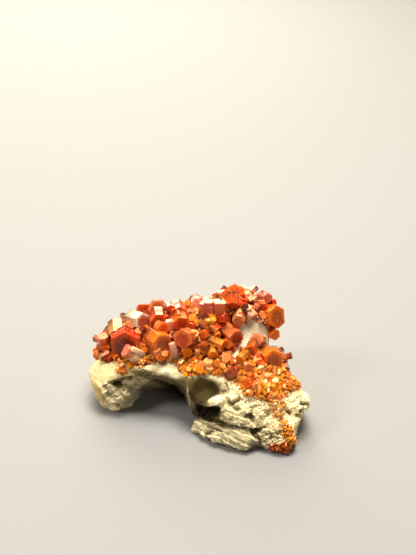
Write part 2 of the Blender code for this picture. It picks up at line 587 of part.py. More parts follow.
def build_crust(matrix, dense, parts, cutters):
    """The intergrown crust, and the two patches of druse that stand apart from it."""
    rock = Rock(matrix)
    skin = remeshed(swollen(dense, "skin", CRUST_THICKNESS, cutters), SKIN_VOXEL)
    facet(skin, CRUST_TRIANGLES)
    rock_cutter = swollen(matrix, "rock_cutter", GAP, cutters)
    crust = crust_ground("vanadinite_crust", skin, CRUST_AREA, parts, cutters)
    cut_flat(crust, *CRUST_FOOT)
    prisms = list(large_crystals(rock)) + list(far_crystals(rock))
    prisms += small_crystals(rock, SMALL_AREA, SMALL_CRYSTALS, 7, SMALL_ACROSS)
    grow(crust, prisms, cutters)
    corner = druse("corner_druse", CORNER_AREA, 8, 3, skin, rock, parts, cutters)
    lobe = druse("lobe_druse", LOBE_AREA, 3, 5, skin, rock, parts, cutters)
    for growth in (crust, corner, lobe):
        free_of_rock(growth, rock_cutter)
    return crust, corner, lobe


def finish(obj, name, colour, roughness, ior):
    """One plain Principled material."""
    material = bpy.data.materials.new(name)
    material.use_nodes = True
    shader = material.node_tree.nodes["Principled BSDF"]
    shader.inputs["Base Color"].default_value = (*colour, 1.0)
    shader.inputs["Roughness"].default_value = roughness
    shader.inputs["IOR"].default_value = ior
    obj.data.materials.clear()
    obj.data.materials.append(material)


def finish_matrix(matrix):
    finish(matrix, "matrix_rock", (0.66, 0.59, 0.44), 0.92, 1.5)


def finish_growths(crust, corner, lobe):
    finish(crust, "vanadinite", (0.60, 0.11, 0.03), 0.22, 2.1)
    finish(corner, "vanadinite_brown", (0.45, 0.16, 0.05), 0.35, 2.1)
    finish(lobe, "vanadinite_orange", (0.72, 0.36, 0.10), 0.35, 2.1)


def main():
    clear_scene()
    parts = bpy.data.collections.new("vanadinite_on_matrix")
    cutters = bpy.data.collections.new("cutters")
    for made in (parts, cutters):
        bpy.context.scene.collection.children.link(made)
    matrix, dense = build_matrix(parts, cutters)
    finish_matrix(matrix)
    finish_growths(*build_crust(matrix, dense, parts, cutters))


main()
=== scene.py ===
# %% [markdown]
# Vanadinite on matrix
#
# A mineral specimen is two things grown together: a broken piece of rock, which collectors call
# the matrix, and the crystals that grew on it. This lesson starts from the solid model of the
# specimen and dresses it. The rock gets its broken, layered surface, the crust gets every one of
# its large six-sided crystals, and a few thousand small ones fill the ground between them.

# %% Load the solid model
import math
import random

import bmesh
import bpy
import numpy as np
from mathutils import Matrix, Vector, noise
from mathutils.bvhtree import BVHTree


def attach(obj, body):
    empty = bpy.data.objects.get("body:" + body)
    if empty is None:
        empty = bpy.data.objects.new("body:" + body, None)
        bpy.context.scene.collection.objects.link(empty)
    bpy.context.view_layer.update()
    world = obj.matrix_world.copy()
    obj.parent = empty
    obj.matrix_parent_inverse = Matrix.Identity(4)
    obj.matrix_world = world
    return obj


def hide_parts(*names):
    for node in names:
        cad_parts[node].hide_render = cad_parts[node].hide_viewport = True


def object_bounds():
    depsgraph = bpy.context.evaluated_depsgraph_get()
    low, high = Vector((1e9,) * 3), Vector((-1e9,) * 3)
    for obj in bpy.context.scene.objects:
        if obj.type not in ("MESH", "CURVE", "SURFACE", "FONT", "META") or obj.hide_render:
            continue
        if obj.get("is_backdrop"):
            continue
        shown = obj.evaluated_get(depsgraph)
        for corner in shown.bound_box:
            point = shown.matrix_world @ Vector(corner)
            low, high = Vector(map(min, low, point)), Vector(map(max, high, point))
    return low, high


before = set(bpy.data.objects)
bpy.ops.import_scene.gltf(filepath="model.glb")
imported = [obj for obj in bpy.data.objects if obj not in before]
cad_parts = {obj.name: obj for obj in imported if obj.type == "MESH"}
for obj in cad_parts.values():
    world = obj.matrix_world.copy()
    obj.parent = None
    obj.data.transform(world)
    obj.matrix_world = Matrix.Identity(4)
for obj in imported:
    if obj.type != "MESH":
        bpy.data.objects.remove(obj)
CAD_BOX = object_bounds()
MM = 0.001
print("nodes:", sorted(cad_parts))
print("box in mm:", [round(side / MM, 1) for side in CAD_BOX[1] - CAD_BOX[0]])

# %% [markdown]
# Finding a place on the specimen
#
# Crystals are easiest to describe as a visitor to the collection sees them: so far to the right,
# so far up, and facing more or less towards the visitor. These helpers turn such a place into
# the model's own frame. u runs right, v up and w away from the visitor, in millimetres from the
# middle of the specimen. The same helpers could be written as one matrix, but the line of sight
# spreads a little with depth, so short functions are clearer.

# %% The display side's own directions
SIGHT_ELEVATION = 33.0  # degrees above the table
SIGHT_DISTANCE = 411.0  # mm
MIDDLE = Vector((0.45, -3.9, 18.9))
TILT = math.radians(SIGHT_ELEVATION)
ACROSS = Vector((1, 0, 0))
UP = Vector((0, math.sin(TILT), math.cos(TILT)))
AWAY = Vector((0, math.cos(TILT), -math.sin(TILT)))


def turned(right, up, away):
    return ACROSS * right + UP * up + AWAY * away


def shown(u, v, w):
    """The place, in metres, that is seen at (u, v) and lies w behind the middle."""
    spread = (SIGHT_DISTANCE + w) / SIGHT_DISTANCE
    return (MIDDLE + turned(u * spread, v * spread, w)) * MM


def display_places(points):
    """u, v and w of an array of points given in millimetres."""
    offset = points - np.array(MIDDLE)
    w = offset @ np.array(AWAY)
    spread = (SIGHT_DISTANCE + w) / SIGHT_DISTANCE
    return offset @ np.array(ACROSS) / spread, offset @ np.array(UP) / spread, w


EYE = (MIDDLE - AWAY * SIGHT_DISTANCE) * MM
print("the eye stands", round(EYE.z / MM), "mm above the table")

# %% [markdown]
# The table, the camera and the light
#
# A mineral is best seen on a plain surface under soft light. One light hangs above. A wide, warm
# one stands behind and skims the tops of the crystals, so that their upper faces turn pale and
# their end faces keep their deep colour. A small one at the left lights the lobe, a weak one in
# front keeps the shadows open, and a sun as wide as a ceiling fills in the rest. One hard lamp
# would give sharper glints, but the sides turned away from it would be nearly black.

# %% Set the stage
scene = bpy.context.scene
scene.view_settings.view_transform = "Standard"


CAMERA_DIP = 28.757  # degrees, less than the line of sight, so that it aims above the specimen
CAMERA_TURN = -0.4646  # degrees, a little to the right of it
CAMERA_LENS = 80  # mm


def put_in_scene(name, data):
    obj = bpy.data.objects.new(name, data)
    scene.collection.objects.link(obj)
    return obj


def place_camera():
    camera = put_in_scene("camera", bpy.data.cameras.new("camera"))
    camera.location = EYE
    camera.rotation_euler = (math.radians(90 - CAMERA_DIP), 0, math.radians(CAMERA_TURN))
    camera.data.lens = CAMERA_LENS
    camera.data.sensor_width = 36
    camera.data.clip_start = 0.01
    scene.camera = camera


def soft_light(name, place, side, power, colour=(1, 1, 1)):
    data = bpy.data.lights.new(name, "AREA")
    data.shape = "SQUARE"
    data.size = side
    data.energy = power
    data.color = colour
    light = put_in_scene(name, data)
    light.location = place
    light.rotation_euler = (MIDDLE * MM - Vector(place)).to_track_quat("-Z", "Y").to_euler()


place_camera()
soft_light("overhead", (0.05, 0.06, 0.62), 0.28, 6.2, (1.0, 0.955, 0.88))
soft_light("behind", (-0.10, 0.52, 0.34), 0.40, 5.8, (1.0, 0.93, 0.76))
soft_light("left", (-0.45, -0.16, 0.46), 0.16, 2.2, (1.0, 0.965, 0.91))
soft_light("front", (0.25, -0.65, 0.45), 0.30, 0.7)
sky = put_in_scene("ceiling", bpy.data.lights.new("ceiling", "SUN"))
sky.data.energy = 1.8
sky.data.angle = math.radians(50)
sky.data.color = (1.0, 0.97, 0.92)
sky.rotation_euler = (math.radians(-14), math.radians(4), 0)
world = bpy.data.worlds.new("room")
world.use_nodes = True
world.node_tree.nodes["Background"].inputs["Color"].default_value = (0.86, 0.85, 0.84, 1)
world.node_tree.nodes["Background"].inputs["Strength"].default_value = 0.04
scene.world = world

# %% [markdown]
# Small words for building materials
#
# Every finish here is made of nodes. Writing them one by one in Python is long, so short helpers
# add a node with its links, mix two colours, tone a colour in places, stretch a range, read what
# the vertices remember, and make a noise or a bump. The last one dresses a piece: it gives the
# material, hangs the piece under the root and hides the part of the solid that it stands in for.


# %% Node helpers
def new_material(name):
    material = bpy.data.materials.new(name)
    material.use_nodes = True
    return material, material.node_tree, material.node_tree.nodes["Principled BSDF"]


def add(tree, kind, values=None, links=None, **settings):
    """Adds a node, sets some of its inputs by name or number, and joins others to sockets."""
    node = tree.nodes.new(kind)
    for name, value in settings.items():
        setattr(node, name, value)
    for socket, value in (values or {}).items():
        node.inputs[socket].default_value = value
    for socket, source in (links or {}).items():
        tree.links.new(source, node.inputs[socket])
    return node


def mixed(tree, share, first, second, blend="MIX"):
    """A mix of two colours, each a colour or a socket, by a share from 0 to 1."""
    node = add(tree, "ShaderNodeMix", data_type="RGBA", blend_type=blend)
    for socket, value in (("Factor", share), ("A", first), ("B", second)):
        found = [i for i in node.inputs if i.name == socket and i.enabled][0]
        if isinstance(value, bpy.types.NodeSocket):
            tree.links.new(value, found)
        else:
            found.default_value = value if isinstance(value, float) else (*value, 1.0)
    return [o for o in node.outputs if o.enabled][0]


def ramp(tree, source, low, high):
    """0 at low, 1 at high and even between them. It falls where low is the larger."""
    node = add(tree, "ShaderNodeMapRange", {1: low, 2: high}, {0: source})
    return node.outputs[0]


def stored(tree, name, output="Fac"):
    return add(tree, "ShaderNodeAttribute", attribute_name=name).outputs[output]


def toned(tree, cover, colour, share, tone, blend="MULTIPLY"):
    """The colour, with a share of the tone laid over it where the cover is 1."""
    return mixed(tree, cover, colour, mixed(tree, share, colour, tone, blend))


def noise_at(tree, place, scale, detail, roughness=0.5):
    values = {"Scale": scale, "Detail": detail, "Roughness": roughness}
    return add(tree, "ShaderNodeTexNoise", values, {"Vector": place}).outputs["Fac"]


def bump_of(tree, height, strength, distance, under=None, invert=False):
    """A bump of so many metres, on top of another one where that is given."""
    links = {"Height": height} if under is None else {"Height": height, "Normal": under}
    return add(tree, "ShaderNodeBump", {"Strength": strength, "Distance": distance}, links,
               invert=invert).outputs[0]


def own_place(tree):
    return add(tree, "ShaderNodeTexCoord").outputs["Object"]


def finished(tree, shader, values, links):
    """Sets the shader's even values and joins the rest of its sockets."""
    for name, value in values.items():
        shader.inputs[name].default_value = value
    for name, source in links.items():
        tree.links.new(source, shader.inputs[name])


# %% Dress a piece and hide the part of the solid it stands in for
def dress(obj, material, node):
    obj.data.materials.clear()
    obj.data.materials.append(material)
    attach(obj, "root")
    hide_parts(node)


# %% The table top
TABLE_SIZE = 8.0  # m from the middle to each edge


def table_finish():
    material, tree, shader = new_material("table_paper")
    grain = noise_at(tree, own_place(tree), 900.0, 4.0)
    colour = mixed(tree, grain, (0.245, 0.238, 0.228), (0.265, 0.258, 0.247))
    finished(tree, shader, {"Roughness": 0.9, "Specular IOR Level": 0.1}, {"Base Color": colour})
    return material


def object_of(bm, name):
    mesh = bpy.data.meshes.new(name)
    bm.to_mesh(mesh)
    bm.free()
    return put_in_scene(name, mesh)


top = bmesh.new()
bmesh.ops.create_grid(top, x_segments=1, y_segments=1, size=TABLE_SIZE)
table = object_of(top, "table")
table.data.materials.append(table_finish())
table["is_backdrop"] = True

# %% [markdown]
# The rock, first its mesh
#
# The solid model's rock is faceted with triangles two or three millimetres wide. Real broken
# rock has detail down to a grain. A copy of the solid is merged, cut into even cells with a
# voxel remesh and relaxed, which rounds the facets away and leaves enough vertices to carve.
# Sculpting by hand would do the same, but a carving written as numbers can be read and changed.

# %% Copy the rock and give it fine cells
ROCK_CELL = 0.42  # mm


def applied(obj):
    """Replaces the object's mesh by what its modifiers make of it."""
    bpy.context.view_layer.update()
    made = obj.evaluated_get(bpy.context.evaluated_depsgraph_get())
    mesh = bpy.data.meshes.new_from_object(made)
    obj.modifiers.clear()
    obj.data = mesh
    return obj


def merged_copy(node):
    bm = bmesh.new()
    bm.from_mesh(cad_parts[node].data)
    bmesh.ops.remove_doubles(bm, verts=bm.verts, dist=1e-6)
    return bm


def fine_rock():
    rock = object_of(merged_copy("matrix"), "rock")
    cells = rock.modifiers.new("cells", "REMESH")
    cells.mode = "VOXEL"
    cells.voxel_size = ROCK_CELL * MM
    relax = rock.modifiers.new("relax", "SMOOTH")
    relax.iterations = 4
    relax.factor = 0.5
    return applied(rock)


rock = fine_rock()
print("rock:", len(rock.data.vertices), "vertices")

# %% [markdown]
# The rock, then its relief
#
# Each part of the rock broke or weathered in its own way. The left lobe is worn smooth on top
# and crumbly below. The mass at the right is layered: its beds run down to the right, and the
# toe is a slab of them. So the relief is a sum: a gentle swell everywhere, broken detail where
# the rock is rough, beds in the layered places, and single grooves, pits and ridges that are
# placed one by one. Blender's vector noise gives other values each time Blender starts, so the
# shove that bends the chips is made of three plain noises, which repeat exactly.

# %% Where the rock is rough, layered, or worn smooth
# (u, v, half width, half height, turn in degrees, strength)
ROUGH = [
    (-26.0, -7.0, 8.5, 5.5, -10, 1.0), (-21.0, -5.5, 5.0, 3.0, 20, 0.8),
    (12.0, -10.0, 8.0, 5.0, -30, 0.8), (16.0, -15.0, 12.0, 5.0, -10, 1.0),
    (3.0, -14.0, 5.5, 4.0, 0, 0.9), (9.4, -5.6, 3.6, 3.6, 0, 0.8), (32.0, -13.0, 6.0, 7.0, 0, 0.7),
    (24.0, -20.0, 6.0, 6.0, 0, 0.8), (-17.0, -1.8, 7.0, 2.2, -12, 0.8),
]
LAYERED = [
    (9.0, -22.0, 13.0, 4.5, -22, 1.0), (22.0, -23.0, 7.0, 4.5, 30, 0.9),
    (14.0, -18.0, 12.0, 3.0, -12, 0.6),
]
SMOOTH = [
    (-30.5, 0.0, 6.5, 4.5, 0, 1.0), (1.5, -7.0, 5.6, 4.0, 0, 1.0),
    (17.0, 10.0, 8.0, 8.0, 0, 0.9), (-6.0, -4.0, 12.0, 2.6, -12, 0.25),
]


def patch(u, v, blob):
    """How strongly a soft-edged oval covers each place, from 0 to its strength."""
    cu, cv, half_width, half_height, turn, strength = blob
    c, s = math.cos(math.radians(turn)), math.sin(math.radians(turn))
    x, y = (u - cu) * c + (v - cv) * s, (v - cv) * c - (u - cu) * s
    edge = 1.35 - np.sqrt((x / half_width) ** 2 + (y / half_height) ** 2)
    return strength * np.clip(edge / 0.7, 0, 1) ** 1.5


def patches(u, v, blobs):
    return np.max([patch(u, v, blob) for blob in blobs], axis=0)


# %% Grooves, pits and ridges
# (points u and v, half width, height in mm: under 0 is cut in, over 0 stands out)
CARVED = [
    # the scoop's lower lip, drawn out to a point at its left
    (((2.0, -11.3), (5.0, -11.2), (8.0, -10.4)), 0.8, 1.0),
    (((5.0, -10.8), (8.6, -9.6)), 1.4, 0.7),
    # the hollow under it and the shade above the slab
    (((-1.4, -13.2), (1.6, -14.0), (5.0, -13.8)), 1.4, -1.7),
    (((0.0, -15.8), (3.6, -16.6)), 0.8, -0.9), (((5.4, -17.2), (7.6, -18.2)), 0.7, -0.8),
    (((10.4, -18.9), (13.2, -19.6), (16.0, -20.0), (18.8, -21.0)), 0.35, -0.9),
    (((11.4, -20.2), (15.2, -20.9)), 0.3, 0.5),
    # cracks in the slab
    (((2.6, -19.0), (5.0, -19.8), (7.2, -20.6)), 0.35, -1.0),
    (((2.0, -21.4), (4.0, -20.6)), 0.5, -1.0),
    (((8.4, -21.2), (12.0, -23.0), (15.0, -24.6)), 0.22, -0.35),
    # the slab's upper edge catches the light
    (((2.8, -17.8), (5.6, -19.0), (9.0, -20.6), (13.6, -21.3), (17.8, -23.4)), 0.4, 0.6),
    (((-1.6, -17.4), (0.6, -18.4)), 0.4, 0.8), (((-1.4, -18.4), (0.6, -19.4)), 0.35, 0.7),
    # between the slab and the corner toe
    (((17.4, -20.8), (19.2, -22.6), (19.8, -24.6)), 0.6, -1.3),
    (((18.6, -20.4), (21.6, -19.2)), 0.5, -0.9),
    (((20.4, -22.6), (23.0, -21.4), (26.0, -21.6)), 0.3, -0.5),
    (((20.6, -24.4), (23.6, -22.8), (26.4, -23.0)), 0.3, -0.5),
    # pits in the right-hand mass
    (((15.4, -15.6), (17.6, -16.4)), 0.7, -1.5), (((16.8, -15.0), (17.4, -17.6)), 0.5, -1.0),
    (((9.2, -10.2), (9.6, -11.8), (12.4, -10.6)), 0.7, -1.2),
    (((11.0, -12.6), (12.4, -13.6)), 0.9, -0.8), (((8.6, -5.0), (9.4, -6.8)), 0.5, -0.6),
    (((13.0, -9.6), (14.0, -10.4)), 0.5, -0.6), (((22.0, -14.6), (23.4, -15.2)), 0.5, -0.5),
    (((29.4, -14.0), (30.2, -15.0)), 0.5, -0.9), (((32.4, -15.6), (33.8, -16.0)), 0.6, -0.8),
    (((34.0, -11.4), (36.4, -12.0)), 0.6, -1.4), (((33.4, -14.0), (35.6, -14.6)), 0.5, -1.0),
    # the left lobe: the step under its smooth top, and its pits
    (((-29.4, -4.6), (-26.4, -3.6), (-22.6, -3.0), (-19.4, -3.2)), 0.7, -0.9),
    (((-28.0, -5.0), (-26.4, -5.6)), 0.9, -1.4), (((-31.8, -5.6), (-31.0, -6.6)), 0.5, -0.7),
    (((-30.4, -8.6), (-28.6, -9.4)), 0.6, -0.9), (((-27.4, -11.8), (-26.6, -12.2)), 0.6, -1.2),
    (((-33.6, -7.4), (-31.6, -10.6), (-29.0, -12.6)), 0.5, -0.6),
    (((-25.0, -8.0), (-22.0, -8.8)), 0.7, 0.7), (((-28.6, -10.4), (-26.0, -9.6)), 0.7, 0.8),
    # the pale line along the arch's right-hand edge
    (((-3.8, -7.6), (-4.2, -10.0), (-3.0, -12.4)), 0.4, 0.5),
]


CARVED_LIMITS = (-2.6, 2.0)  # mm, the deepest cut and the highest ridge


def line_distance(u, v, line):
    """How far each place lies from a bent line, in mm."""
    best = np.full(u.shape, np.inf)
    for (u1, v1), (u2, v2) in zip(line, line[1:]):
        du, dv = u2 - u1, v2 - v1
        along = np.clip(((u - u1) * du + (v - v1) * dv) / (du * du + dv * dv), 0, 1)
        best = np.minimum(best, np.hypot(u - u1 - along * du, v - v1 - along * dv))
    return best


def nearness(u, v, line, half_width):
    """1 along a bent line, falling steeply to 0 a little past its half width."""
    return np.clip(1.75 - line_distance(u, v, line) / half_width * 1.25, 0, 1)


def carving(u, v):
    depth = np.zeros(u.shape)
    for line, half_width, height in CARVED:
        depth += nearness(u, v, line, half_width) * height
    return np.clip(depth, *CARVED_LIMITS)


# %% Carve the rock
BED_DIP = math.radians(24)  # the beds run down to the right
FINE_BED, COARSE_BED = 0.75, 2.3  # mm thick
COARSE_CHIP, FINE_CHIP, SLAB_CHIP = 2.5, 1.1, 1.2  # mm across
SLAB_STRETCH = 3.6  # how much longer than thick the chips of the layered places are


def mesh_array(mesh, what):
    values = np.empty(len(mesh.vertices) * 3, np.float32)
    mesh.vertices.foreach_get(what, values)
    return values.reshape(-1, 3).astype(np.float64)


def places_and_normals(mesh):
    """Where each vertex lies, in mm, and which way the surface faces there."""
    return mesh_array(mesh, "co") / MM, mesh_array(mesh, "normal")


def mesh_loops(mesh):
    """The vertex numbers of each four-sided face."""
    values = np.empty(len(mesh.loops), np.int32)
    mesh.loops.foreach_get("vertex_index", values)
    return values.reshape(-1, 4)


def each(points, function):
    return np.array([function(Vector(p)) for p in points])


SHIFTS = [Vector((9.3, -1.5, -8.0)), Vector((0.0, 0.0, 0.0)), Vector((6.3, 0.2, -2.7))]


def adrift(place):
    """A little shove in each direction, from a coarse and a fine plain noise."""
    return [noise.noise(place + shift) + 0.5 * noise.noise((place + shift) * 2) for shift in SHIFTS]


def chip(place):
    """Broken stone: cells of flat chips, each leaning its own way and set a little in or out."""
    spot = noise.voronoi(place)[1][0]
    lean = noise.cell_vector(spot * 61.0) * 2 - Vector((1, 1, 1))
    return (place - spot).dot(lean) + lean.z * 0.35


def along_beds(points, stretch):
    """Places squeezed along the beds, so that chips come out long and flat."""
    slope = ACROSS * math.cos(BED_DIP) - UP * math.sin(BED_DIP)
    axis = np.array(slope.normalized())
    return points - np.outer(points @ axis, axis) * (1 - 1 / stretch)


def across_beds(u, v, wobble):
    """How far across the beds a place lies, in mm."""
    return u * math.sin(BED_DIP) + v * math.cos(BED_DIP) + wobble * 0.9


def beds(u, v, wobble):
    """Layers that are steep on one side, like the edges of a stack of slates."""
    across = across_beds(u, v, wobble)
    fine, coarse = (across / FINE_BED) % 1.0, (across / COARSE_BED) % 1.0
    return (np.minimum(fine * 1.3, (1 - fine) * 4.3) - 0.5) * 0.42 + (
        np.minimum(coarse * 1.25, (1 - coarse) * 5.0) - 0.5) * 0.75


def store(mesh, name, values):
    layer = mesh.attributes.new(name, "FLOAT", "POINT")
    layer.data.foreach_set("value", np.asarray(values, np.float32))


def carve(obj):
    """Moves each vertex along its normal, and keeps what each place is for the finish."""
    mesh = obj.data
    points, normals = places_and_normals(mesh)
    u, v, _ = display_places(points)
    facing = -(normals @ np.array(AWAY))
    front = np.clip((facing - 0.05) / 0.3, 0, 1)
    rough = np.where(front > 0, patches(u, v, ROUGH) * front, 0)
    rough = np.maximum(rough, 0.45 * (1 - front))
    smooth = patches(u, v, SMOOTH) * front
    layered = patches(u, v, LAYERED) * front
    rough = np.clip(rough + 0.22 - smooth, 0.04, 1)
    swell = each(points * 0.16, lambda p: noise.fractal(p, 0.9, 2.0, 3))
    bent = points + each(points * 0.5, adrift) * 0.8
    broken = each(bent / COARSE_CHIP, chip) * 0.65 + each(bent / FINE_CHIP, chip) * 0.42
    grit = each(points * 1.9, lambda p: noise.fractal(p, 0.6, 2.0, 3))
    slabs = each(along_beds(bent, SLAB_STRETCH) / SLAB_CHIP, chip)
    bedded = (beds(u, v, swell) * 0.8 + slabs * 0.40) * layered
    cut = carving(u, v) * front
    move = swell * 0.25 + broken * rough * (1 - 0.5 * layered) + bedded + cut
    move += grit * (0.03 + 0.15 * rough)
    move -= 0.12
    floor = np.clip((points[:, 2] - 0.05) / 1.2, 0, 1)
    moved = points + normals * (move * floor)[:, None]
    moved[:, 2] = np.maximum(moved[:, 2], np.minimum(points[:, 2], 0.0))
    mesh.vertices.foreach_set("co", (moved * MM).astype(np.float32).ravel())
    low = -cut - (broken * 0.8 + grit * 0.3) * rough - bedded
    across = across_beds(u, v, swell) + broken * 0.15
    for name, values in (("hollow", low), ("rough", rough), ("layered", layered),
                         ("bed", across)):
        store(mesh, name, values)
    mesh.update()
    return u, v, np.clip((facing + 0.5) / 0.4, 0, 1)


rock_u, rock_v, rock_near = carve(rock)
print("rock carved:", [round(side, 1) for side in np.ptp(mesh_array(rock.data, "co") / MM, axis=0)])

# %% [markdown]
# The rock's finish
#
# Fresh breaks in this rock are cream, some of its faces are grey, and iron has stained it orange
# next to the crystals. Painted shade lies on it too: dull green under the overhangs and steps,
# darker in the scoop under the crust's rim, and brown inside the arch and its deep hollows, with a
# painted highlight as a thin pale line along the arch's right-hand edge. These colours belong to
# places, so they are painted on the vertices, and nodes then break them up with grain, seams and a
# fine speckle that is strongest where the rock is rough, and darken the places cut deepest with
# painted shade. A single noise could not tell the lobe from the hollow, and a painted picture would
# have to be made elsewhere.

# %% Paint the rock's colours
CREAM = (1.0, 0.845, 0.48)
# Worn cream on the lobe's smooth top, and also a painted highlight along the arch's right-hand
# edge.
WORN_CREAM_AND_HIGHLIGHT = (0.86, 0.69, 0.31)
PALE = (1.0, 0.93, 0.54)
WARM = (1.0, 0.90, 0.58)
GREY = (0.46, 0.385, 0.225)
# Painted shade: the dull green below lies under the overhangs and steps, the next, darker one in
# the scoop under the crust's rim, and the brown inside the arch and its deep hollows.
PAINTED_SHADE_OLIVE = (0.17, 0.125, 0.045)
SHADE = (0.050, 0.032, 0.005)
PAINTED_SHADOW_BROWN = (0.065, 0.042, 0.016)
OCHRE = (0.62, 0.44, 0.13)
STAIN = (0.72, 0.33, 0.07)

# (colour, (u, v, half width, half height, turn, strength)) in the order they are laid on
TINTS = [
    (WORN_CREAM_AND_HIGHLIGHT, (-30.5, 0.5, 8.0, 6.0, 0, 0.9)),
    (GREY, (-25.5, -7.0, 7.0, 4.4, -10, 0.75)),
    (PAINTED_SHADE_OLIVE, (-27.0, -5.2, 2.4, 1.5, -20, 0.9)),
    (OCHRE, (-33.6, -7.8, 1.4, 4.8, 27, 0.8)),
    (PAINTED_SHADOW_BROWN, (-14.0, -8.4, 7.0, 3.0, -20, 0.8)),
    (PAINTED_SHADE_OLIVE, (-18.0, -1.7, 6.0, 1.9, -12, 0.95)),
    (PAINTED_SHADE_OLIVE, (-8.5, -5.4, 9.0, 2.4, -22, 0.95)),
    (PAINTED_SHADE_OLIVE, (-0.6, -3.8, 6.0, 1.4, -6, 0.9)),
    (PAINTED_SHADE_OLIVE, (-5.8, -5.2, 4.0, 2.6, -30, 1.0)),
    (PALE, (1.4, -2.6, 7.0, 0.4, -2, 1.0)),
    (GREY, (8.6, -7.2, 1.6, 1.2, 0, 0.8)),
    (SHADE, (1.6, -7.2, 7.0, 5.4, 0, 1.0)),
    (SHADE, (-0.4, -7.8, 5.0, 5.0, 0, 1.0)),
    (PAINTED_SHADE_OLIVE, (2.0, -14.6, 6.6, 3.4, -8, 0.95)),
    (PAINTED_SHADOW_BROWN, (0.6, -14.4, 5.2, 2.6, -5, 0.9)),
    (PAINTED_SHADE_OLIVE, (8.0, -18.6, 4.0, 1.5, -25, 0.9)),
    (PAINTED_SHADOW_BROWN, (-7.2, -12.5, 4.6, 10.0, 0, 0.95)),
    # Painted highlight: a thin pale line along the arch's right-hand edge.
    (WORN_CREAM_AND_HIGHLIGHT, (-3.6, -9.4, 0.2, 4.6, 8, 0.6)),
    (CREAM, (6.4, -10.8, 3.6, 2.0, 20, 1.0)),
    (PALE, (-10.0, -1.2, 3.4, 1.4, -24, 1.0)),
    (GREY, (15.0, -20.0, 6.5, 1.5, -14, 0.8)),
    (GREY, (19.6, -25.0, 3.0, 2.0, 0, 0.6)),
    (STAIN, (24.5, -11.0, 2.4, 5.5, 20, 0.45)),
    (STAIN, (27.6, -19.5, 1.6, 5.5, 20, 0.5)),
    (STAIN, (31.0, -6.6, 3.6, 1.6, -30, 0.5)),
    (STAIN, (-24.6, 1.4, 3.4, 2.0, -20, 0.55)),
    (STAIN, (17.0, -6.2, 6.0, 1.6, -20, 0.4)),
    (WARM, (17.0, 10.0, 8.4, 8.0, 0, 1.0)),
]


def paint_rock(mesh, u, v, near):
    colour = np.tile(np.array(CREAM), (len(u), 1))
    for tint, blob in TINTS:
        share = (patch(u, v, blob) * near)[:, None]
        colour = colour * (1 - share) + np.array(tint) * share
    behind = (1 - near)[:, None] * 0.35
    colour = colour * (1 - behind) + np.array(GREY) * behind
    layer = mesh.attributes.new("tint", "FLOAT_COLOR", "POINT")
    layer.data.foreach_set(
        "color", np.hstack([colour, np.ones((len(u), 1))]).astype(np.float32).ravel())


paint_rock(rock.data, rock_u, rock_v, rock_near)


# %% The rock's nodes
def rock_finish():
    material, tree, shader = new_material("cream_matrix")
    place = own_place(tree)
    blotch = noise_at(tree, place, 260.0, 6.0, 0.6)
    grain = noise_at(tree, place, 1500.0, 8.0, 0.7)
    dots = noise_at(tree, place, 2300.0, 3.0, 0.6)
    pores = add(tree, "ShaderNodeTexVoronoi", {"Scale": 1100.0}, {"Vector": place}).outputs[0]
    sheets = add(tree, "ShaderNodeTexNoise", {"Scale": 2.6, "Detail": 4.0, "Roughness": 0.65},
                 {"W": stored(tree, "bed")}, noise_dimensions="1D").outputs["Fac"]
    seams = add(tree, "ShaderNodeMath", None,
                {0: ramp(tree, sheets, 0.48, 0.60), 1: stored(tree, "layered")},
                operation="MULTIPLY").outputs[0]
    speckle = add(tree, "ShaderNodeMath", {1: 0.75, 2: 0.30}, {0: stored(tree, "rough")},
                  operation="MULTIPLY_ADD", use_clamp=True).outputs[0]
    tint = stored(tree, "tint", "Color")
    tint = mixed(tree, ramp(tree, blotch, 0.50, 0.75), tint, (1.25, 1.25, 1.3), "MULTIPLY")
    # Painted shade: places cut deep into the rock are darkened, as shade gathers in hollows and
    # cracks.
    hollow = ramp(tree, stored(tree, "hollow"), 0.10, 1.1)
    tint = toned(tree, hollow, tint, 0.75, (0.16, 0.12, 0.06))
    tint = toned(tree, seams, tint, 0.85, (0.28, 0.22, 0.15))
    tint = toned(tree, ramp(tree, grain, 0.53, 0.70), tint, 0.45, (0.42, 0.33, 0.18))
    tint = toned(tree, ramp(tree, dots, 0.56, 0.66), tint, speckle, (0.34, 0.27, 0.16))
    tint = toned(tree, ramp(tree, dots, 0.47, 0.38), tint, speckle, (1.28, 1.28, 1.30))
    high = bump_of(tree, grain, 1.0, 0.00055)
    low = bump_of(tree, pores, 0.35, 0.00018, high)
    edges = bump_of(tree, seams, 0.6, 0.0003, low, invert=True)
    finished(
        tree, shader,
        {"Specular IOR Level": 0.15, "Subsurface Weight": 0.06, "Subsurface Scale": 0.0006,
         "Subsurface Radius": (1.0, 0.7, 0.4)},
        {"Base Color": tint, "Roughness": ramp(tree, grain, 1.4, 0.0), "Normal": edges})
    return material


FLAT_SHADED = 0.30  # rock at least this rough shows its facets
dress(rock, rock_finish(), "matrix")
rough_at = np.empty(len(rock.data.vertices), np.float32)
rock.data.attributes["rough"].data.foreach_get("value", rough_at)
corners = mesh_loops(rock.data)
rock.data.polygons.foreach_set("use_smooth", rough_at[corners].mean(axis=1) < FLAT_SHADED)
print("rock finished:", len(rock.data.polygons), "faces")
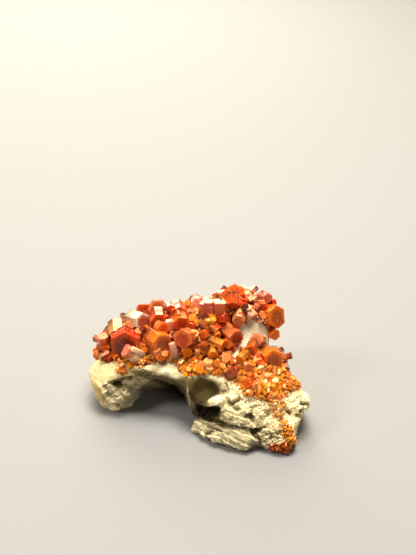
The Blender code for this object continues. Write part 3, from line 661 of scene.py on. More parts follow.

# %% [markdown]
# The crystals, first one of them
#
# A vanadinite crystal is a short six-sided prism with a flat end. It grows in steps, so its sides
# carry fine ledges and its end is often a plate within a plate, with a brighter rim round a darker
# heart. The rim's brightness is partly the crystal's own colour and partly a painted glow of light
# through its edges. One cone with six sides and no taper makes the prism. Two of its sides are cut
# back, because few crystals grow evenly. Plane cuts across it give the ledges, insets give the
# plates, and a narrow bevel gives the edges the thin glint that a perfectly sharp edge could never
# show. Each vertex also remembers its colours, with painted shade towards the root, how near the
# heart of the end it is, and its place in the crystal's own frame, for the finish to use.

# %% Colours of the crystals, each a rim and a heart
# Each rim is partly the crystal's own colour and partly a painted glow of light through its edges.
TONES = {
    "deep": ((0.60, 0.034, 0.003), (0.11, 0.004, 0.001)),
    "red": ((0.62, 0.060, 0.005), (0.25, 0.012, 0.003)),
    "fire": ((0.72, 0.115, 0.006), (0.42, 0.034, 0.004)),
    "dull": ((0.64, 0.130, 0.028), (0.30, 0.034, 0.010)),
    "rose": ((0.62, 0.150, 0.080), (0.36, 0.045, 0.026)),
    "brown": ((0.88, 0.165, 0.005), (0.30, 0.050, 0.005)),
    "orange": ((0.76, 0.210, 0.008), (0.54, 0.105, 0.005)),
    "yellow": ((0.82, 0.320, 0.020), (0.68, 0.210, 0.010)),
    "salmon": ((0.72, 0.220, 0.060), (0.50, 0.105, 0.026)),
    "pink": ((0.84, 0.400, 0.260), (0.56, 0.160, 0.090)),
    "maroon": ((0.22, 0.022, 0.006), (0.07, 0.004, 0.001)),
    "bleached": ((1.00, 0.740, 0.400), (0.64, 0.170, 0.090)),
    # Painted highlight: this tone's cream rim stands partly for light falling on the crystal's
    # sides; its heart is a dull red.
    "lit_cream": ((1.00, 0.700, 0.460), (0.44, 0.070, 0.030)),
    "peach": ((0.82, 0.390, 0.125), (0.64, 0.220, 0.050)),
    "cream": ((0.92, 0.620, 0.310), (0.74, 0.380, 0.150)),
}
DIPPED = ("bleached",)  # bleached along the sides, while the whole end has kept its colour
SIDE_REACH = 0.433  # from the middle to a side, as a share of the width across corners
LAYERS = (("rim", "float_color"), ("core", "float_color"), ("own", "float_vector"),
          ("heart", "float"))


def layers_of(bm):
    """The four things that each vertex of a crystal remembers."""
    found = {}
    for name, kind in LAYERS:
        kept = getattr(bm.verts.layers, kind)
        found[name] = kept.get(name) or kept.new(name)
    return found


def hexagon_distance(place):
    """How far out a place lies, measured square to the nearest of the six sides."""
    turns = (0, 60, 120)
    return max(abs(place.x * math.cos(math.radians(t)) + place.y * math.sin(math.radians(t)))
               for t in turns)


# %% One prism with ledges, plates and soft edges
def parts_of(bm):
    return bm.verts[:] + bm.edges[:] + bm.faces[:]


def slower_sides(bm, dice, across):
    """Two of the sides have grown less than the rest, so the end is seldom an even hexagon."""
    least = 0.62 if across < 6 else 0.80
    for turn in dice.sample(range(0, 360, 60), 2):
        side = Vector((math.cos(math.radians(turn)), math.sin(math.radians(turn)), 0))
        cut = bmesh.ops.bisect_plane(
            bm, geom=parts_of(bm), clear_outer=True, plane_no=side,
            plane_co=side * (SIDE_REACH * across * dice.uniform(least, 0.95)))
        rim = [item for item in cut["geom_cut"] if isinstance(item, bmesh.types.BMEdge)]
        bmesh.ops.contextual_create(bm, geom=rim)


def ledge(bm, level, drop, shrink):
    """Two cuts close together, and everything above them drawn in a little."""
    for cut in (level, level - drop):
        bmesh.ops.bisect_plane(bm, geom=parts_of(bm), plane_co=(0, 0, cut), plane_no=(0, 0, 1))
    above = [vert for vert in bm.verts if vert.co.z > level - drop / 2]
    bmesh.ops.scale(bm, vec=(shrink, shrink, 1), verts=above)


def end_face(bm):
    upward = [face for face in bm.faces if face.normal.z > 0.9]
    return [min(upward, key=lambda face: face.calc_center_bounds().xy.length)]


def plate(bm, margin, depth):
    """Insets the end face, which then stands out or lies in by the depth."""
    bmesh.ops.inset_region(bm, faces=end_face(bm), thickness=margin, depth=depth,
                           use_even_offset=True)


def prism(dice, across, length, detail):
    """A crystal in its own frame in mm: its end lies at z = 0 and its body below."""
    bm = bmesh.new()
    bmesh.ops.create_cone(
        bm, cap_ends=True, segments=6, radius1=across / 2, radius2=across / 2,
        depth=length, matrix=Matrix.Translation((0, 0, -length / 2)))
    slower_sides(bm, dice, across)
    for _ in range(detail):
        level = -dice.uniform(0.08, 0.7) * length
        ledge(bm, level, 0.035 * across, 1 - dice.uniform(0.004, 0.035))
    plate(bm, dice.uniform(0.03, 0.07) * across, dice.choice((-0.006, 0.005, 0.0)) * across)
    if detail:
        plate(bm, dice.uniform(0.10, 0.18) * across, dice.choice((0.0, 0.007, -0.005)) * across)
        bmesh.ops.poke(bm, faces=end_face(bm))
        sharp = [e for e in bm.edges if e.is_manifold and e.calc_face_angle() > 0.5]
        bmesh.ops.bevel(bm, geom=sharp, affect="EDGES", offset=0.03 + 0.006 * across,
                        segments=1, profile=0.5, material=-1, clamp_overlap=True)
    bmesh.ops.recalc_face_normals(bm, faces=bm.faces)
    return bm


def remember(bm, across, tone, dice):
    """Writes the crystal's colours, with painted shade towards its root, and its places on its
    vertices.
    """
    layers = layers_of(bm)
    rim, core = (Vector(colour) * dice.uniform(0.90, 1.20) for colour in TONES[tone])
    core = core.lerp(rim, 0.0 if across > 5 or tone in DIPPED else 0.45)
    shift = Vector([dice.uniform(0, 90) for _ in range(3)])
    inner = across * SIDE_REACH
    bottom = min(vert.co.z for vert in bm.verts)
    for vert in bm.verts:
        # Painted shade: the rim colour darkens towards the crystal's root, where its neighbours
        # shade it; small crystals darken less.
        shade = 1 - (0.85 if across > 1.8 else 0.4) * max(0.0, vert.co.z / bottom) ** 1.1
        depth = max(0.0, 1 + vert.co.z / (0.12 * across))
        # Painted highlight: the heart is set a little off the middle, so the bright rim is wider on
        # the side of the first corner, the upper edge of an unspun crystal, where the light catches
        # it.
        leaning = vert.co + Vector((0, 0.07 * across, 0))
        inward = 1.0 if tone in DIPPED else max(0.0, 1 - hexagon_distance(leaning) / inner)
        vert[layers["heart"]] = inward * min(1, depth)
        vert[layers["rim"]] = (*(rim * shade), 1)
        vert[layers["core"]] = (*core, 1)
        vert[layers["own"]] = vert.co + shift


def stand(bm, end, facing, spin):
    """Turns and moves a crystal from its own frame to its place on the specimen."""
    steep = abs(facing.dot(UP)) >= 0.97
    side = (AWAY if steep else UP).cross(facing).normalized()
    corner = Matrix.Rotation(math.radians(spin), 3, facing) @ facing.cross(side)
    basis = Matrix((corner.cross(facing), corner, facing)).transposed().to_4x4()
    matrix = Matrix.Translation(end) @ basis @ Matrix.Scale(MM, 4)
    bmesh.ops.transform(bm, matrix=matrix, verts=bm.verts)
    return matrix


def gather(cluster, bm):
    """Adds one finished crystal to a cluster of them."""
    mesh = bpy.data.meshes.new("one")
    bm.to_mesh(mesh)
    bm.free()
    cluster.from_mesh(mesh)
    bpy.data.meshes.remove(mesh)


def new_cluster():
    cluster = bmesh.new()
    layers_of(cluster)
    return cluster


sample = prism(random.Random(1), 6.0, 5.0, 3)
print("one crystal:", len(sample.verts), "vertices,", len(sample.faces), "faces")
sample.free()

# %% [markdown]
# The large crystals
#
# These are the crystals that make this specimen what it is, so each is placed on its own. A row
# says where the middle of its end face is seen, how wide and long it is, which way the end
# faces, how it is spun, how far it stands off the rock and which colours it has. The depth is
# not in the row: a line of sight is cast onto the solid rock and the crystal stands where it
# lands. That keeps every crystal rooted, whichever side the specimen is seen from. Smaller ones
# grow in step with many of them, but the very largest stand clean.

# %% Every large crystal, row by row
# (u, v, width across corners, length, facing right, up and towards the viewer, spin, lift, tone)
CRYSTALS = [
    # left end
    (-24.7, 7.7, 12.4, 3.6, 0.0, -0.55, 0.83, 0, 3.2, "deep"),
    (-32.3, 11.0, 4.4, 8.0, -0.15, 0.76, 0.62, 30, 3.4, "fire"),
    (-27.4, 11.4, 6.4, 5.0, 0.10, -0.85, 0.50, 30, 3.0, "peach"),
    (-18.7, 16.0, 6.8, 7.5, 0.62, -0.15, 0.77, 12, 4.2, "lit_cream"),
    (-23.7, 14.3, 5.2, 5.0, -0.15, 0.45, 0.88, 10, 3.0, "salmon"),
    (-20.3, 13.0, 3.4, 3.5, 0.30, 0.70, 0.65, 20, 4.0, "salmon"),
    (-24.8, 6.4, 5.2, 9.4, -0.72, 0.36, 0.59, 48, 6.6, "bleached"),
    (-22.3, 3.0, 3.4, 4.0, 0.0, -0.30, 0.95, 0, 2.0, "brown"),
    (-32.3, 3.7, 2.2, 2.4, -0.2, -0.3, 0.93, 10, 1.0, "brown"),
    (-30.6, 5.6, 2.2, 3.0, 0.1, -0.2, 0.97, 25, 1.8, "pink"),
    (-27.3, 3.7, 3.0, 3.0, 0.0, -0.4, 0.90, 0, 1.5, "brown"),
    (-20.0, 7.9, 2.6, 3.2, 0.1, 0.3, 0.95, 15, 3.0, "yellow"),
    (-18.2, 6.4, 2.4, 3.2, -0.1, 0.4, 0.90, 0, 2.6, "orange"),
    (-25.6, 1.6, 1.8, 2.4, 0.3, 0.3, 0.90, 10, 0.9, "brown"),
    (-23.6, 1.2, 2.0, 2.4, -0.3, 0.2, 0.92, 25, 0.9, "yellow"),
    (-22.2, 2.0, 1.9, 2.6, 0.2, -0.2, 0.95, 40, 1.2, "brown"),
    (-25.0, -0.2, 2.0, 2.2, 0.2, 0.4, 0.88, 5, 0.8, "orange"),
    (-26.6, -0.4, 1.5, 2.0, -0.4, 0.3, 0.85, 30, 0.7, "yellow"),
    # top left
    (-18.5, 19.4, 6.4, 4.5, -0.20, -0.10, 0.97, 30, 1.2, "red"),
    (-13.7, 19.9, 7.2, 4.5, 0.10, -0.12, 0.99, 30, 1.8, "dull"),
    (-13.4, 15.6, 7.0, 5.5, 0.12, -0.50, 0.86, 30, 4.2, "red"),
    (-7.0, 17.8, 7.6, 6.5, 0.10, -0.45, 0.88, -5, 3.4, "red"),
    (-3.9, 22.0, 2.8, 3.0, 0.2, 0.3, 0.93, 10, 1.0, "orange"),
    (-3.6, 19.4, 2.6, 3.0, 0.0, 0.0, 1.0, 30, 2.2, "orange"),
    (-0.8, 21.9, 4.3, 5.0, -0.35, 0.10, 0.92, 20, 2.0, "pink"),
    (-6.0, 14.9, 6.2, 5.0, 0.10, -0.52, 0.85, 25, 3.8, "fire"),
    (-2.3, 17.2, 3.6, 4.0, -0.40, 0.50, 0.75, 30, 2.8, "orange"),
    (-10.0, 16.2, 3.0, 5.5, -0.10, 0.85, 0.50, 0, 4.6, "pink"),
    (-13.6, 15.0, 4.0, 3.5, 0.10, 0.30, 0.95, 0, 4.8, "salmon"),
    (-12.0, 13.3, 5.2, 4.0, 0.20, -0.20, 0.96, 20, 3.8, "fire"),
    (-0.5, 15.2, 2.6, 3.0, 0.1, 0.2, 0.97, 10, 2.2, "yellow"),
    # middle
    (-12.0, 8.6, 8.2, 6.8, 0.45, -0.35, 0.82, 30, 5.0, "brown"),
    (-5.7, 9.8, 7.6, 7.0, -0.42, -0.10, 0.90, 4, 5.0, "dull"),
    (-1.3, 12.0, 3.8, 4.0, 0.40, 0.66, 0.64, 20, 4.2, "peach"),
    (-3.0, 13.8, 3.6, 4.0, -0.2, -0.3, 0.93, 10, 2.6, "deep"),
    (-14.4, 6.6, 3.4, 6.0, -0.30, 0.72, 0.60, 20, 5.4, "salmon"),
    (-12.9, 4.2, 3.3, 5.5, 0.35, -0.30, 0.88, 10, 4.2, "brown"),
    (-11.7, 5.4, 3.2, 5.5, 0.20, 0.60, 0.77, 0, 4.0, "brown"),
    (-9.4, 8.6, 2.4, 5.6, -0.25, 0.85, 0.45, 15, 5.4, "pink"),
    (-4.0, 5.4, 5.0, 5.0, 0.30, -0.62, 0.72, 30, 3.0, "orange"),
    (-0.6, 6.2, 2.2, 3.0, 0.3, 0.75, 0.60, 0, 2.4, "peach"),
    # upper middle, the block of striated columns and the summit
    (3.3, 22.5, 4.0, 9.0, 0.00, 0.84, 0.54, 30, 6.9, "rose"),
    (5.7, 22.5, 4.0, 9.0, 0.02, 0.84, 0.54, 30, 7.0, "rose"),
    (1.4, 22.2, 3.4, 8.6, -0.02, 0.84, 0.54, 30, 6.8, "rose"),
    (7.7, 22.2, 3.2, 8.6, 0.04, 0.84, 0.54, 30, 6.8, "dull"),
    (2.9, 16.4, 2.0, 2.4, 0.0, 0.4, 0.90, 0, 7.6, "orange"),
    (4.9, 16.6, 2.0, 2.4, 0.1, 0.4, 0.90, 30, 7.6, "yellow"),
    (5.6, 24.2, 3.3, 3.5, -0.2, 0.1, 0.97, 15, 1.0, "red"),
    (7.8, 23.6, 2.4, 3.0, 0.0, 0.4, 0.92, 0, 2.0, "peach"),
    (13.2, 25.1, 10.4, 5.5, 0.45, 0.62, 0.62, -7, 1.8, "fire"),
    (11.0, 20.8, 5.0, 5.0, 0.05, -0.78, 0.60, 5, 4.2, "red"),
    (8.7, 20.6, 2.4, 3.0, -0.3, 0.75, 0.60, 0, 3.2, "peach"),
    # Painted highlight: the cream tone here stands for the white glint of a lit face.
    (18.0, 25.0, 3.2, 3.5, 0.60, 0.45, 0.66, 10, 1.0, "cream"),
    (16.7, 23.6, 3.4, 4.0, 0.20, 0.10, 0.97, 20, 2.6, "fire"),
    (15.0, 21.8, 3.2, 4.0, -0.1, -0.3, 0.95, 0, 2.4, "deep"),
    (9.3, 17.0, 4.4, 4.5, 0.0, -0.20, 0.98, 20, 2.6, "deep"),
    (12.6, 15.8, 5.2, 5.0, -0.10, -0.56, 0.82, 22, 4.8, "salmon"),
    (16.3, 20.6, 3.0, 4.2, -0.15, 0.75, 0.64, 0, 3.2, "pink"),
    (17.4, 18.9, 4.2, 4.6, 0.35, 0.55, 0.74, 10, 2.6, "pink"),
    (6.2, 12.4, 3.4, 7.0, 0.80, -0.42, 0.42, 0, 3.6, "dull"),
    (6.6, 12.7, 4.6, 4.0, 0.1, -0.40, 0.91, 15, 3.0, "deep"),
    (1.0, 11.4, 3.8, 4.2, -0.1, -0.30, 0.95, 0, 3.6, "fire"),
    (6.3, 10.7, 3.2, 3.5, 0.40, -0.50, 0.76, 0, 3.4, "orange"),
    (12.4, 10.2, 6.0, 6.6, 0.50, -0.42, 0.76, 30, 4.2, "dull"),
    (8.1, 7.8, 3.8, 5.6, 0.86, -0.30, 0.42, 30, 3.0, "orange"),
    (9.1, 8.4, 3.9, 4.2, 0.05, 0.30, 0.95, 0, 3.2, "brown"),
    (10.4, 7.0, 3.2, 3.5, 0.0, -0.40, 0.92, 10, 1.8, "deep"),
    (4.7, 4.4, 4.2, 4.0, 0.05, -0.72, 0.69, 30, 3.0, "orange"),
    (2.0, 5.3, 2.4, 3.0, 0.1, 0.2, 0.97, 10, 2.2, "orange"),
    (0.0, 4.3, 2.2, 3.0, -0.1, 0.1, 0.99, 20, 2.0, "yellow"),
    (9.0, 4.0, 4.7, 4.4, -0.50, 0.50, 0.70, 15, 3.2, "salmon"),
    (3.0, 2.8, 4.5, 3.0, 0.1, 0.86, 0.50, 30, 3.2, "peach"),
    (0.2, 0.1, 3.7, 3.5, -0.10, 0.20, 0.97, 10, 2.4, "orange"),
    (3.3, 0.4, 2.8, 3.0, 0.30, 0.75, 0.60, 0, 2.2, "peach"),
    (6.0, 1.8, 2.9, 3.0, 0.1, 0.2, 0.97, 20, 2.6, "orange"),
    (7.9, 1.2, 2.7, 3.0, 0.2, 0.60, 0.77, 0, 3.0, "orange"),
    (11.6, -0.6, 4.4, 3.4, 0.60, 0.52, 0.58, 10, 3.6, "maroon"),
    # above and below the bare saddle, and down the right edge
    (13.2, 2.9, 3.8, 4.6, -0.62, -0.45, 0.64, 10, 3.4, "orange"),
    (16.0, 4.2, 3.7, 4.0, 0.45, -0.40, 0.80, 0, 3.2, "orange"),
    (16.3, 0.2, 3.9, 4.0, 0.35, -0.45, 0.82, 10, 3.5, "salmon"),
    (17.6, 2.0, 3.2, 3.5, 0.45, 0.60, 0.66, 20, 2.8, "orange"),
    (20.0, 23.0, 4.2, 4.2, -0.3, -0.35, 0.88, 0, 1.8, "rose"),
    (22.8, 23.2, 4.4, 4.2, 0.35, -0.30, 0.88, 10, 2.0, "rose"),
    (25.0, 22.2, 2.6, 3.0, 0.6, 0.2, 0.77, 10, 0.8, "red"),
    (21.0, 20.3, 4.2, 4.4, 0.0, -0.5, 0.87, 30, 3.6, "red"),
    (26.1, 17.3, 8.8, 6.5, 0.50, -0.16, 0.84, 8, 2.6, "brown"),
    (25.2, 11.2, 4.4, 4.5, 0.40, -0.30, 0.87, 12, 1.5, "brown"),
    (21.3, 18.0, 3.5, 3.6, 0.1, 0.2, 0.97, 20, 3.0, "salmon"),
    (20.4, 16.2, 2.2, 2.6, 0.0, 0.1, 1.0, 0, 1.6, "pink"),
    (22.4, 15.4, 2.0, 2.6, 0.1, 0.2, 0.98, 15, 1.4, "pink"),
    (19.0, 9.4, 5.6, 5.2, -0.20, 0.22, 0.95, 15, 3.4, "salmon"),
    (17.0, 6.2, 4.5, 4.2, -0.25, -0.62, 0.74, 0, 4.4, "fire"),
    (24.6, 2.6, 8.4, 6.0, 0.30, -0.30, 0.90, 12, 3.8, "brown"),
    (21.0, 5.0, 3.2, 3.5, 0.1, 0.1, 0.99, 20, 2.4, "orange"),
    (19.4, 3.4, 2.9, 3.0, 0.5, 0.70, 0.50, 0, 2.4, "peach"),
    # Painted highlight: the cream tone here stands for a star of glinting facets.
    (20.4, 0.7, 2.5, 3.0, -0.3, 0.8, 0.50, 10, 2.8, "cream"),
    (22.7, -0.3, 2.4, 3.0, 0.1, 0.2, 0.97, 0, 2.4, "orange"),
    (22.6, -2.0, 2.2, 2.6, 0.1, 0.3, 0.95, 20, 2.2, "pink"),
    (27.8, -2.0, 3.2, 3.4, 0.2, -0.2, 0.96, 10, 1.8, "brown"),
    (28.9, -2.2, 2.7, 3.2, 0.5, 0.2, 0.84, 0, 0.8, "yellow"),
    (15.7, -4.8, 3.9, 3.6, 0.0, -0.1, 1.0, 20, 2.2, "fire"),
    (15.0, -3.2, 2.5, 3.0, 0.1, 0.4, 0.91, 0, 2.4, "orange"),
    (17.4, -2.8, 2.8, 3.0, 0.1, -0.2, 0.97, 10, 2.0, "brown"),
    (20.7, -2.5, 2.6, 3.0, 0.0, 0.3, 0.95, 20, 2.0, "orange"),
    (22.3, -5.3, 2.6, 3.0, 0.1, 0.2, 0.97, 0, 1.8, "yellow"),
    (18.8, -5.8, 2.4, 3.0, 0.0, 0.1, 1.0, 15, 1.6, "salmon"),
    (25.2, -3.8, 2.6, 3.0, 0.2, 0.1, 0.97, 10, 1.8, "orange"),
    (26.9, -5.6, 2.6, 3.0, 0.2, 0.1, 0.97, 20, 1.6, "orange"),
    (24.0, -6.6, 2.4, 3.0, 0.1, 0.1, 0.99, 0, 1.4, "yellow"),
    # along the front rim
    (-5.6, 0.7, 2.2, 2.8, 0.0, 0.2, 0.98, 0, 1.4, "orange"),
    (-3.6, 0.2, 2.4, 2.8, 0.1, 0.1, 0.99, 20, 1.5, "yellow"),
    (-1.9, 0.9, 2.2, 2.8, 0.0, 0.3, 0.95, 10, 1.6, "orange"),
    (-4.9, -1.8, 2.0, 2.4, -0.1, 0.0, 1.0, 15, 1.0, "yellow"),
]
# Over the skyline: x and y from the middle, width, length, how far it leans along x and y, spin
FAR_CRYSTALS = [
    (-30.0, 20.5, 4.6, 5.0, -0.2, 0.3, 10),
    (-24.5, 25.0, 5.2, 5.5, 0.1, 0.2, 35),
    (-19.0, 26.5, 4.4, 5.0, -0.3, 0.4, 0),
    (-13.0, 27.5, 5.6, 5.5, 0.2, 0.3, 20),
    (-6.5, 28.0, 4.8, 5.0, -0.1, 0.5, 45),
    (-1.0, 27.0, 5.0, 5.5, 0.3, 0.2, 15),
    (5.0, 27.5, 4.2, 5.0, -0.2, 0.4, 30),
    (10.0, 28.0, 5.4, 5.5, 0.1, 0.3, 5),
    (16.0, 27.0, 4.6, 5.0, 0.2, 0.5, 25),
    (21.5, 24.0, 4.4, 5.0, 0.4, 0.1, 50),
    (24.0, 19.5, 3.8, 4.5, 0.4, -0.1, 10),
    (-16.5, 24.0, 4.2, 5.0, 0.3, -0.2, 12),
    (-9.5, 25.0, 4.4, 5.0, -0.2, -0.1, 40),
    (2.0, 25.0, 4.0, 4.6, 0.1, -0.3, 8),
]
FAR_TONES = ("dull", "red", "fire", "rose", "orange", "brown")


# %% Find the rock under each crystal
def solid_rock():
    bm = merged_copy("matrix")
    tree = BVHTree.FromBMesh(bm)
    bm.free()
    return tree


rock_tree = solid_rock()


def depth_seen(u, v):
    """How far behind the middle the rock lies where it is seen at (u, v)."""
    place, _, _, _ = rock_tree.ray_cast(EYE, (shown(u, v, 0.0) - EYE).normalized())
    if place is None:
        place = rock_tree.find_nearest(shown(u, v, 8.0))[0]
    return (place / MM - MIDDLE).dot(AWAY)


def large_places():
    dice = random.Random(7)
    for u, v, across, length, right, up, toward, spin, lift, tone in CRYSTALS:
        end = shown(u, v, depth_seen(u, v) - lift)
        lean = 0.8 if across < 5.2 and toward > 0.88 else 0.08  # more for small ones facing us
        right, up = right + dice.uniform(-lean, lean), up + dice.uniform(-lean, lean * 0.7)
        yield end, turned(right, up, -toward).normalized(), across, length, spin, tone


def far_places():
    for number, (x, y, across, length, lean_x, lean_y, spin) in enumerate(FAR_CRYSTALS):
        above = Vector((MIDDLE.x + x, MIDDLE.y + y, 80.0)) * MM
        place, normal, _, _ = rock_tree.ray_cast(above, Vector((0, 0, -1)))
        facing = (normal + Vector((lean_x, lean_y, 0))).normalized()
        tone = FAR_TONES[number % len(FAR_TONES)]
        yield place + facing * (0.55 * length * MM), facing, across, length, spin, tone


# %% The saddle, which stays bare
SADDLE = [
    (12.7, 13.0), (15.0, 16.3), (19.3, 16.3), (22.3, 14.0), (24.0, 11.0), (24.0, 6.3),
    (21.3, 5.3), (19.0, 6.3), (17.3, 8.0), (15.0, 5.7), (14.0, 3.0), (11.7, 1.7),
    (10.3, 3.7), (12.0, 7.0), (14.0, 9.7),
]


def inside(u, v, area):
    within = np.zeros(u.shape, bool)
    for (u1, v1), (u2, v2) in zip(area, area[1:] + area[:1]):
        if v1 == v2:
            continue
        crossed = (v1 > v) != (v2 > v)
        within ^= crossed & (u < u1 + (v - v1) * (u2 - u1) / (v2 - v1))
    return within


def margin(u, v, area):
    """How far inside the area a place lies, in mm, and under 0 outside it."""
    away = line_distance(u, v, area + area[:1])
    return np.where(inside(u, v, area), away, -away)


# %% Grow them, with the smaller ones that grow in step with a large one
CLEAN_FROM = 8.0  # mm across, and larger ones have no companions
SADDLE_RIM = 1.0  # mm around the saddle that companions stay out of


def companions(dice, across, length):
    """Where smaller crystals sit against a large one: offset, drop, width and length."""
    if across > CLEAN_FROM:
        return
    for _ in range(int(across > 3.4) + int(across > 5.0) + int(across > 7.0)):
        turn = math.radians(60 * dice.randrange(6) + dice.uniform(-14, 14))
        width = across * dice.uniform(0.26, 0.44)
        reach = across * SIDE_REACH - width * dice.uniform(0.02, 0.30)
        offset = Vector((math.sin(turn), math.cos(turn), 0)) * reach
        yield offset, dice.uniform(0.05, 0.5) * length, width, length * 0.6


def grow_large(name, places, seed):
    dice = random.Random(seed)
    cluster, bodies = new_cluster(), []
    for end, facing, across, length, spin, tone in places:
        body = prism(dice, across, length, 3 if across > 4 else 2)
        remember(body, across, tone, dice)
        matrix = stand(body, end, facing, spin)
        gather(cluster, body)
        bodies.append((matrix.inverted(), across, length))
        for offset, drop, width, reach in companions(dice, across, length):
            foot = matrix @ (offset - Vector((0, 0, drop)))
            u, v, _ = display_places(np.array([foot / MM]))
            if margin(u, v, SADDLE)[0] > -SADDLE_RIM:
                continue
            twin = prism(dice, width, reach, 1)
            remember(twin, width, "cream" if tone in DIPPED else tone, dice)
            stand(twin, foot, facing, spin)
            gather(cluster, twin)
    return object_of(cluster, name), bodies


large, large_bodies = grow_large("large_crystals", large_places(), 11)
far, far_bodies = grow_large("far_crystals", far_places(), 12)
print("large crystals:", len(large_bodies), "and", len(far_bodies), "behind,",
      len(large.data.polygons) + len(far.data.polygons), "faces")

# %% [markdown]
# The ground between them
#
# Between the large crystals the rock is not bare. It is covered with small crystals, from three
# millimetres down to a grain. A thin shell of the rock's own surface, pushed outward where the
# crust covers it, is the ground. It could be left out, but rock would then show between the small
# crystals, and on the real specimen it does not. Its dark red is partly the crust's own colour and
# partly painted shade for the deep gaps between the crystals.

# %% Where the crust covers the rock
CRUST_REACH = 21.0  # mm behind the middle
CRUST_FOOT = (10.5, 0.4)  # mm above the table at y = 0, and the fall with each mm to the back
PATCH_REACH = 12.0  # mm behind the middle
PATCH_FOOT = 0.5  # mm above the table
CRUST_AREA = [
    (-34.6, 4.2), (-31.3, 3.0), (-26.0, 2.6), (-22.7, 1.0), (-18.0, 1.2), (-14.6, 2.4),
    (-10.6, 3.4), (-8.2, 2.4), (-6.8, -1.0), (-2.0, -1.9), (2.0, -1.8), (5.0, -1.6),
    (8.6, -2.6), (11.6, -4.0), (13.8, -6.6), (15.0, -8.8), (18.4, -9.6), (22.4, -10.6),
    (23.6, -13.2), (25.0, -15.8), (26.0, -16.6), (27.4, -15.6), (28.0, -13.0),
    (27.6, -10.0), (29.0, -7.6), (33.0, -6.2), (33.8, -4.4), (31.0, -2.4), (29.8, -1.0),
    (28.4, 2.2), (27.0, 8.0), (27.4, 13.0), (28.0, 20.0), (26.0, 27.0), (13.0, 31.0),
    (0.0, 28.0), (-20.0, 26.0), (-33.0, 14.4), (-34.9, 8.0),
]
CORNER_AREA = [
    (26.6, -18.2), (28.4, -17.6), (30.2, -20.0), (31.6, -23.6), (33.0, -27.0), (29.0, -30.0),
    (22.0, -29.0), (22.6, -25.6), (26.4, -24.8), (28.2, -23.6), (27.4, -21.0),
]
LOBE_AREA = [(-28.6, -1.2), (-27.2, 0.4), (-24.8, 0.6), (-24.0, -0.8), (-26.4, -2.2)]


def crust_margin(points):
    """How far inside the crust a place lies: at the back it also ends in depth and at its foot."""
    u, v, w = display_places(points)
    foot = CRUST_FOOT[0] - CRUST_FOOT[1] * points[:, 1]
    above = np.where(w > -1.0, (points[:, 2] - foot) * 0.9, 9.0)
    crusted = np.minimum(margin(u, v, CRUST_AREA), -margin(u, v, SADDLE))
    return np.minimum(np.minimum(crusted, CRUST_REACH - w), above)


def patch_margin(area):
    def found(points):
        u, v, w = display_places(points)
        patchy = each(points * 0.55, noise.noise) * 1.6
        above = points[:, 2] - PATCH_FOOT
        inner = np.minimum(np.minimum(margin(u, v, area), PATCH_REACH - w), above)
        return inner + np.minimum(patchy - 0.2, 0)
    return found


# %% Which colours and sizes belong to which place
# ((u, v, half width, half height, turn, strength), smallest and largest in mm, tones)
SMALL_ZONES = [
    ((26.0, -15.0, 5.0, 5.0, 0, 1.0), (0.5, 1.2), "yellow cream peach yellow cream"),
    ((-34.0, 5.0, 4.0, 4.0, 0, 1.0), (0.5, 1.5), "brown fire salmon peach"),
    ((26.0, -8.0, 13.0, 9.0, 0, 1.0), (0.6, 1.6), "orange yellow orange fire yellow peach"),
    ((13.0, -4.5, 5.0, 2.4, -20, 1.0), (0.45, 1.2), "orange yellow peach orange"),
    ((1.0, -0.4, 10.0, 3.6, 0, 1.0), (0.5, 1.5), "yellow orange peach orange fire"),
    ((-9.0, 2.4, 7.0, 3.4, 0, 1.0), (0.6, 1.5), "yellow orange peach brown"),
    ((-20.0, 2.8, 9.0, 3.0, 0, 1.0), (0.5, 1.6), "brown yellow peach orange"),
    ((6.0, 5.0, 5.0, 5.0, 0, 0.9), (0.6, 1.8), "orange yellow brown peach fire"),
    ((2.0, 15.0, 3.0, 5.0, 0, 1.0), (0.6, 1.6), "yellow orange peach orange"),
    ((20.0, 18.0, 6.0, 6.0, 0, 0.9), (0.7, 1.9), "rose pink salmon dull peach"),
]
ELSEWHERE = ((1.1, 3.2), "fire orange dull salmon red rose orange")


WARM_PLACES = [zone[0] for zone in SMALL_ZONES[:6]]  # where the ground turns orange
DUSTY_PLACES = [SMALL_ZONES[0][0]]  # and where it turns to yellow dust


def zone_of(u, v):
    for blob, sizes, tones in SMALL_ZONES:
        if patch(np.array([u]), np.array([v]), blob)[0] > 0.3:
            return sizes, tones.split()
    return ELSEWHERE[0], ELSEWHERE[1].split()


# %% Raise the ground
GROUND_RISE = 0.75  # mm
GROUND_SUNK = 0.45  # mm under the rock's surface at the shell's edge
GROUND_WALL = 0.25  # mm
SHELL_EDGE = -1.2  # mm, how far outside the crust the shell runs on under the rock


def risen(cover):
    """How far up the ground is, from 0 just outside the crust's edge to 1 just inside it."""
    return np.clip((cover + 0.6) / 1.4, 0, 1)


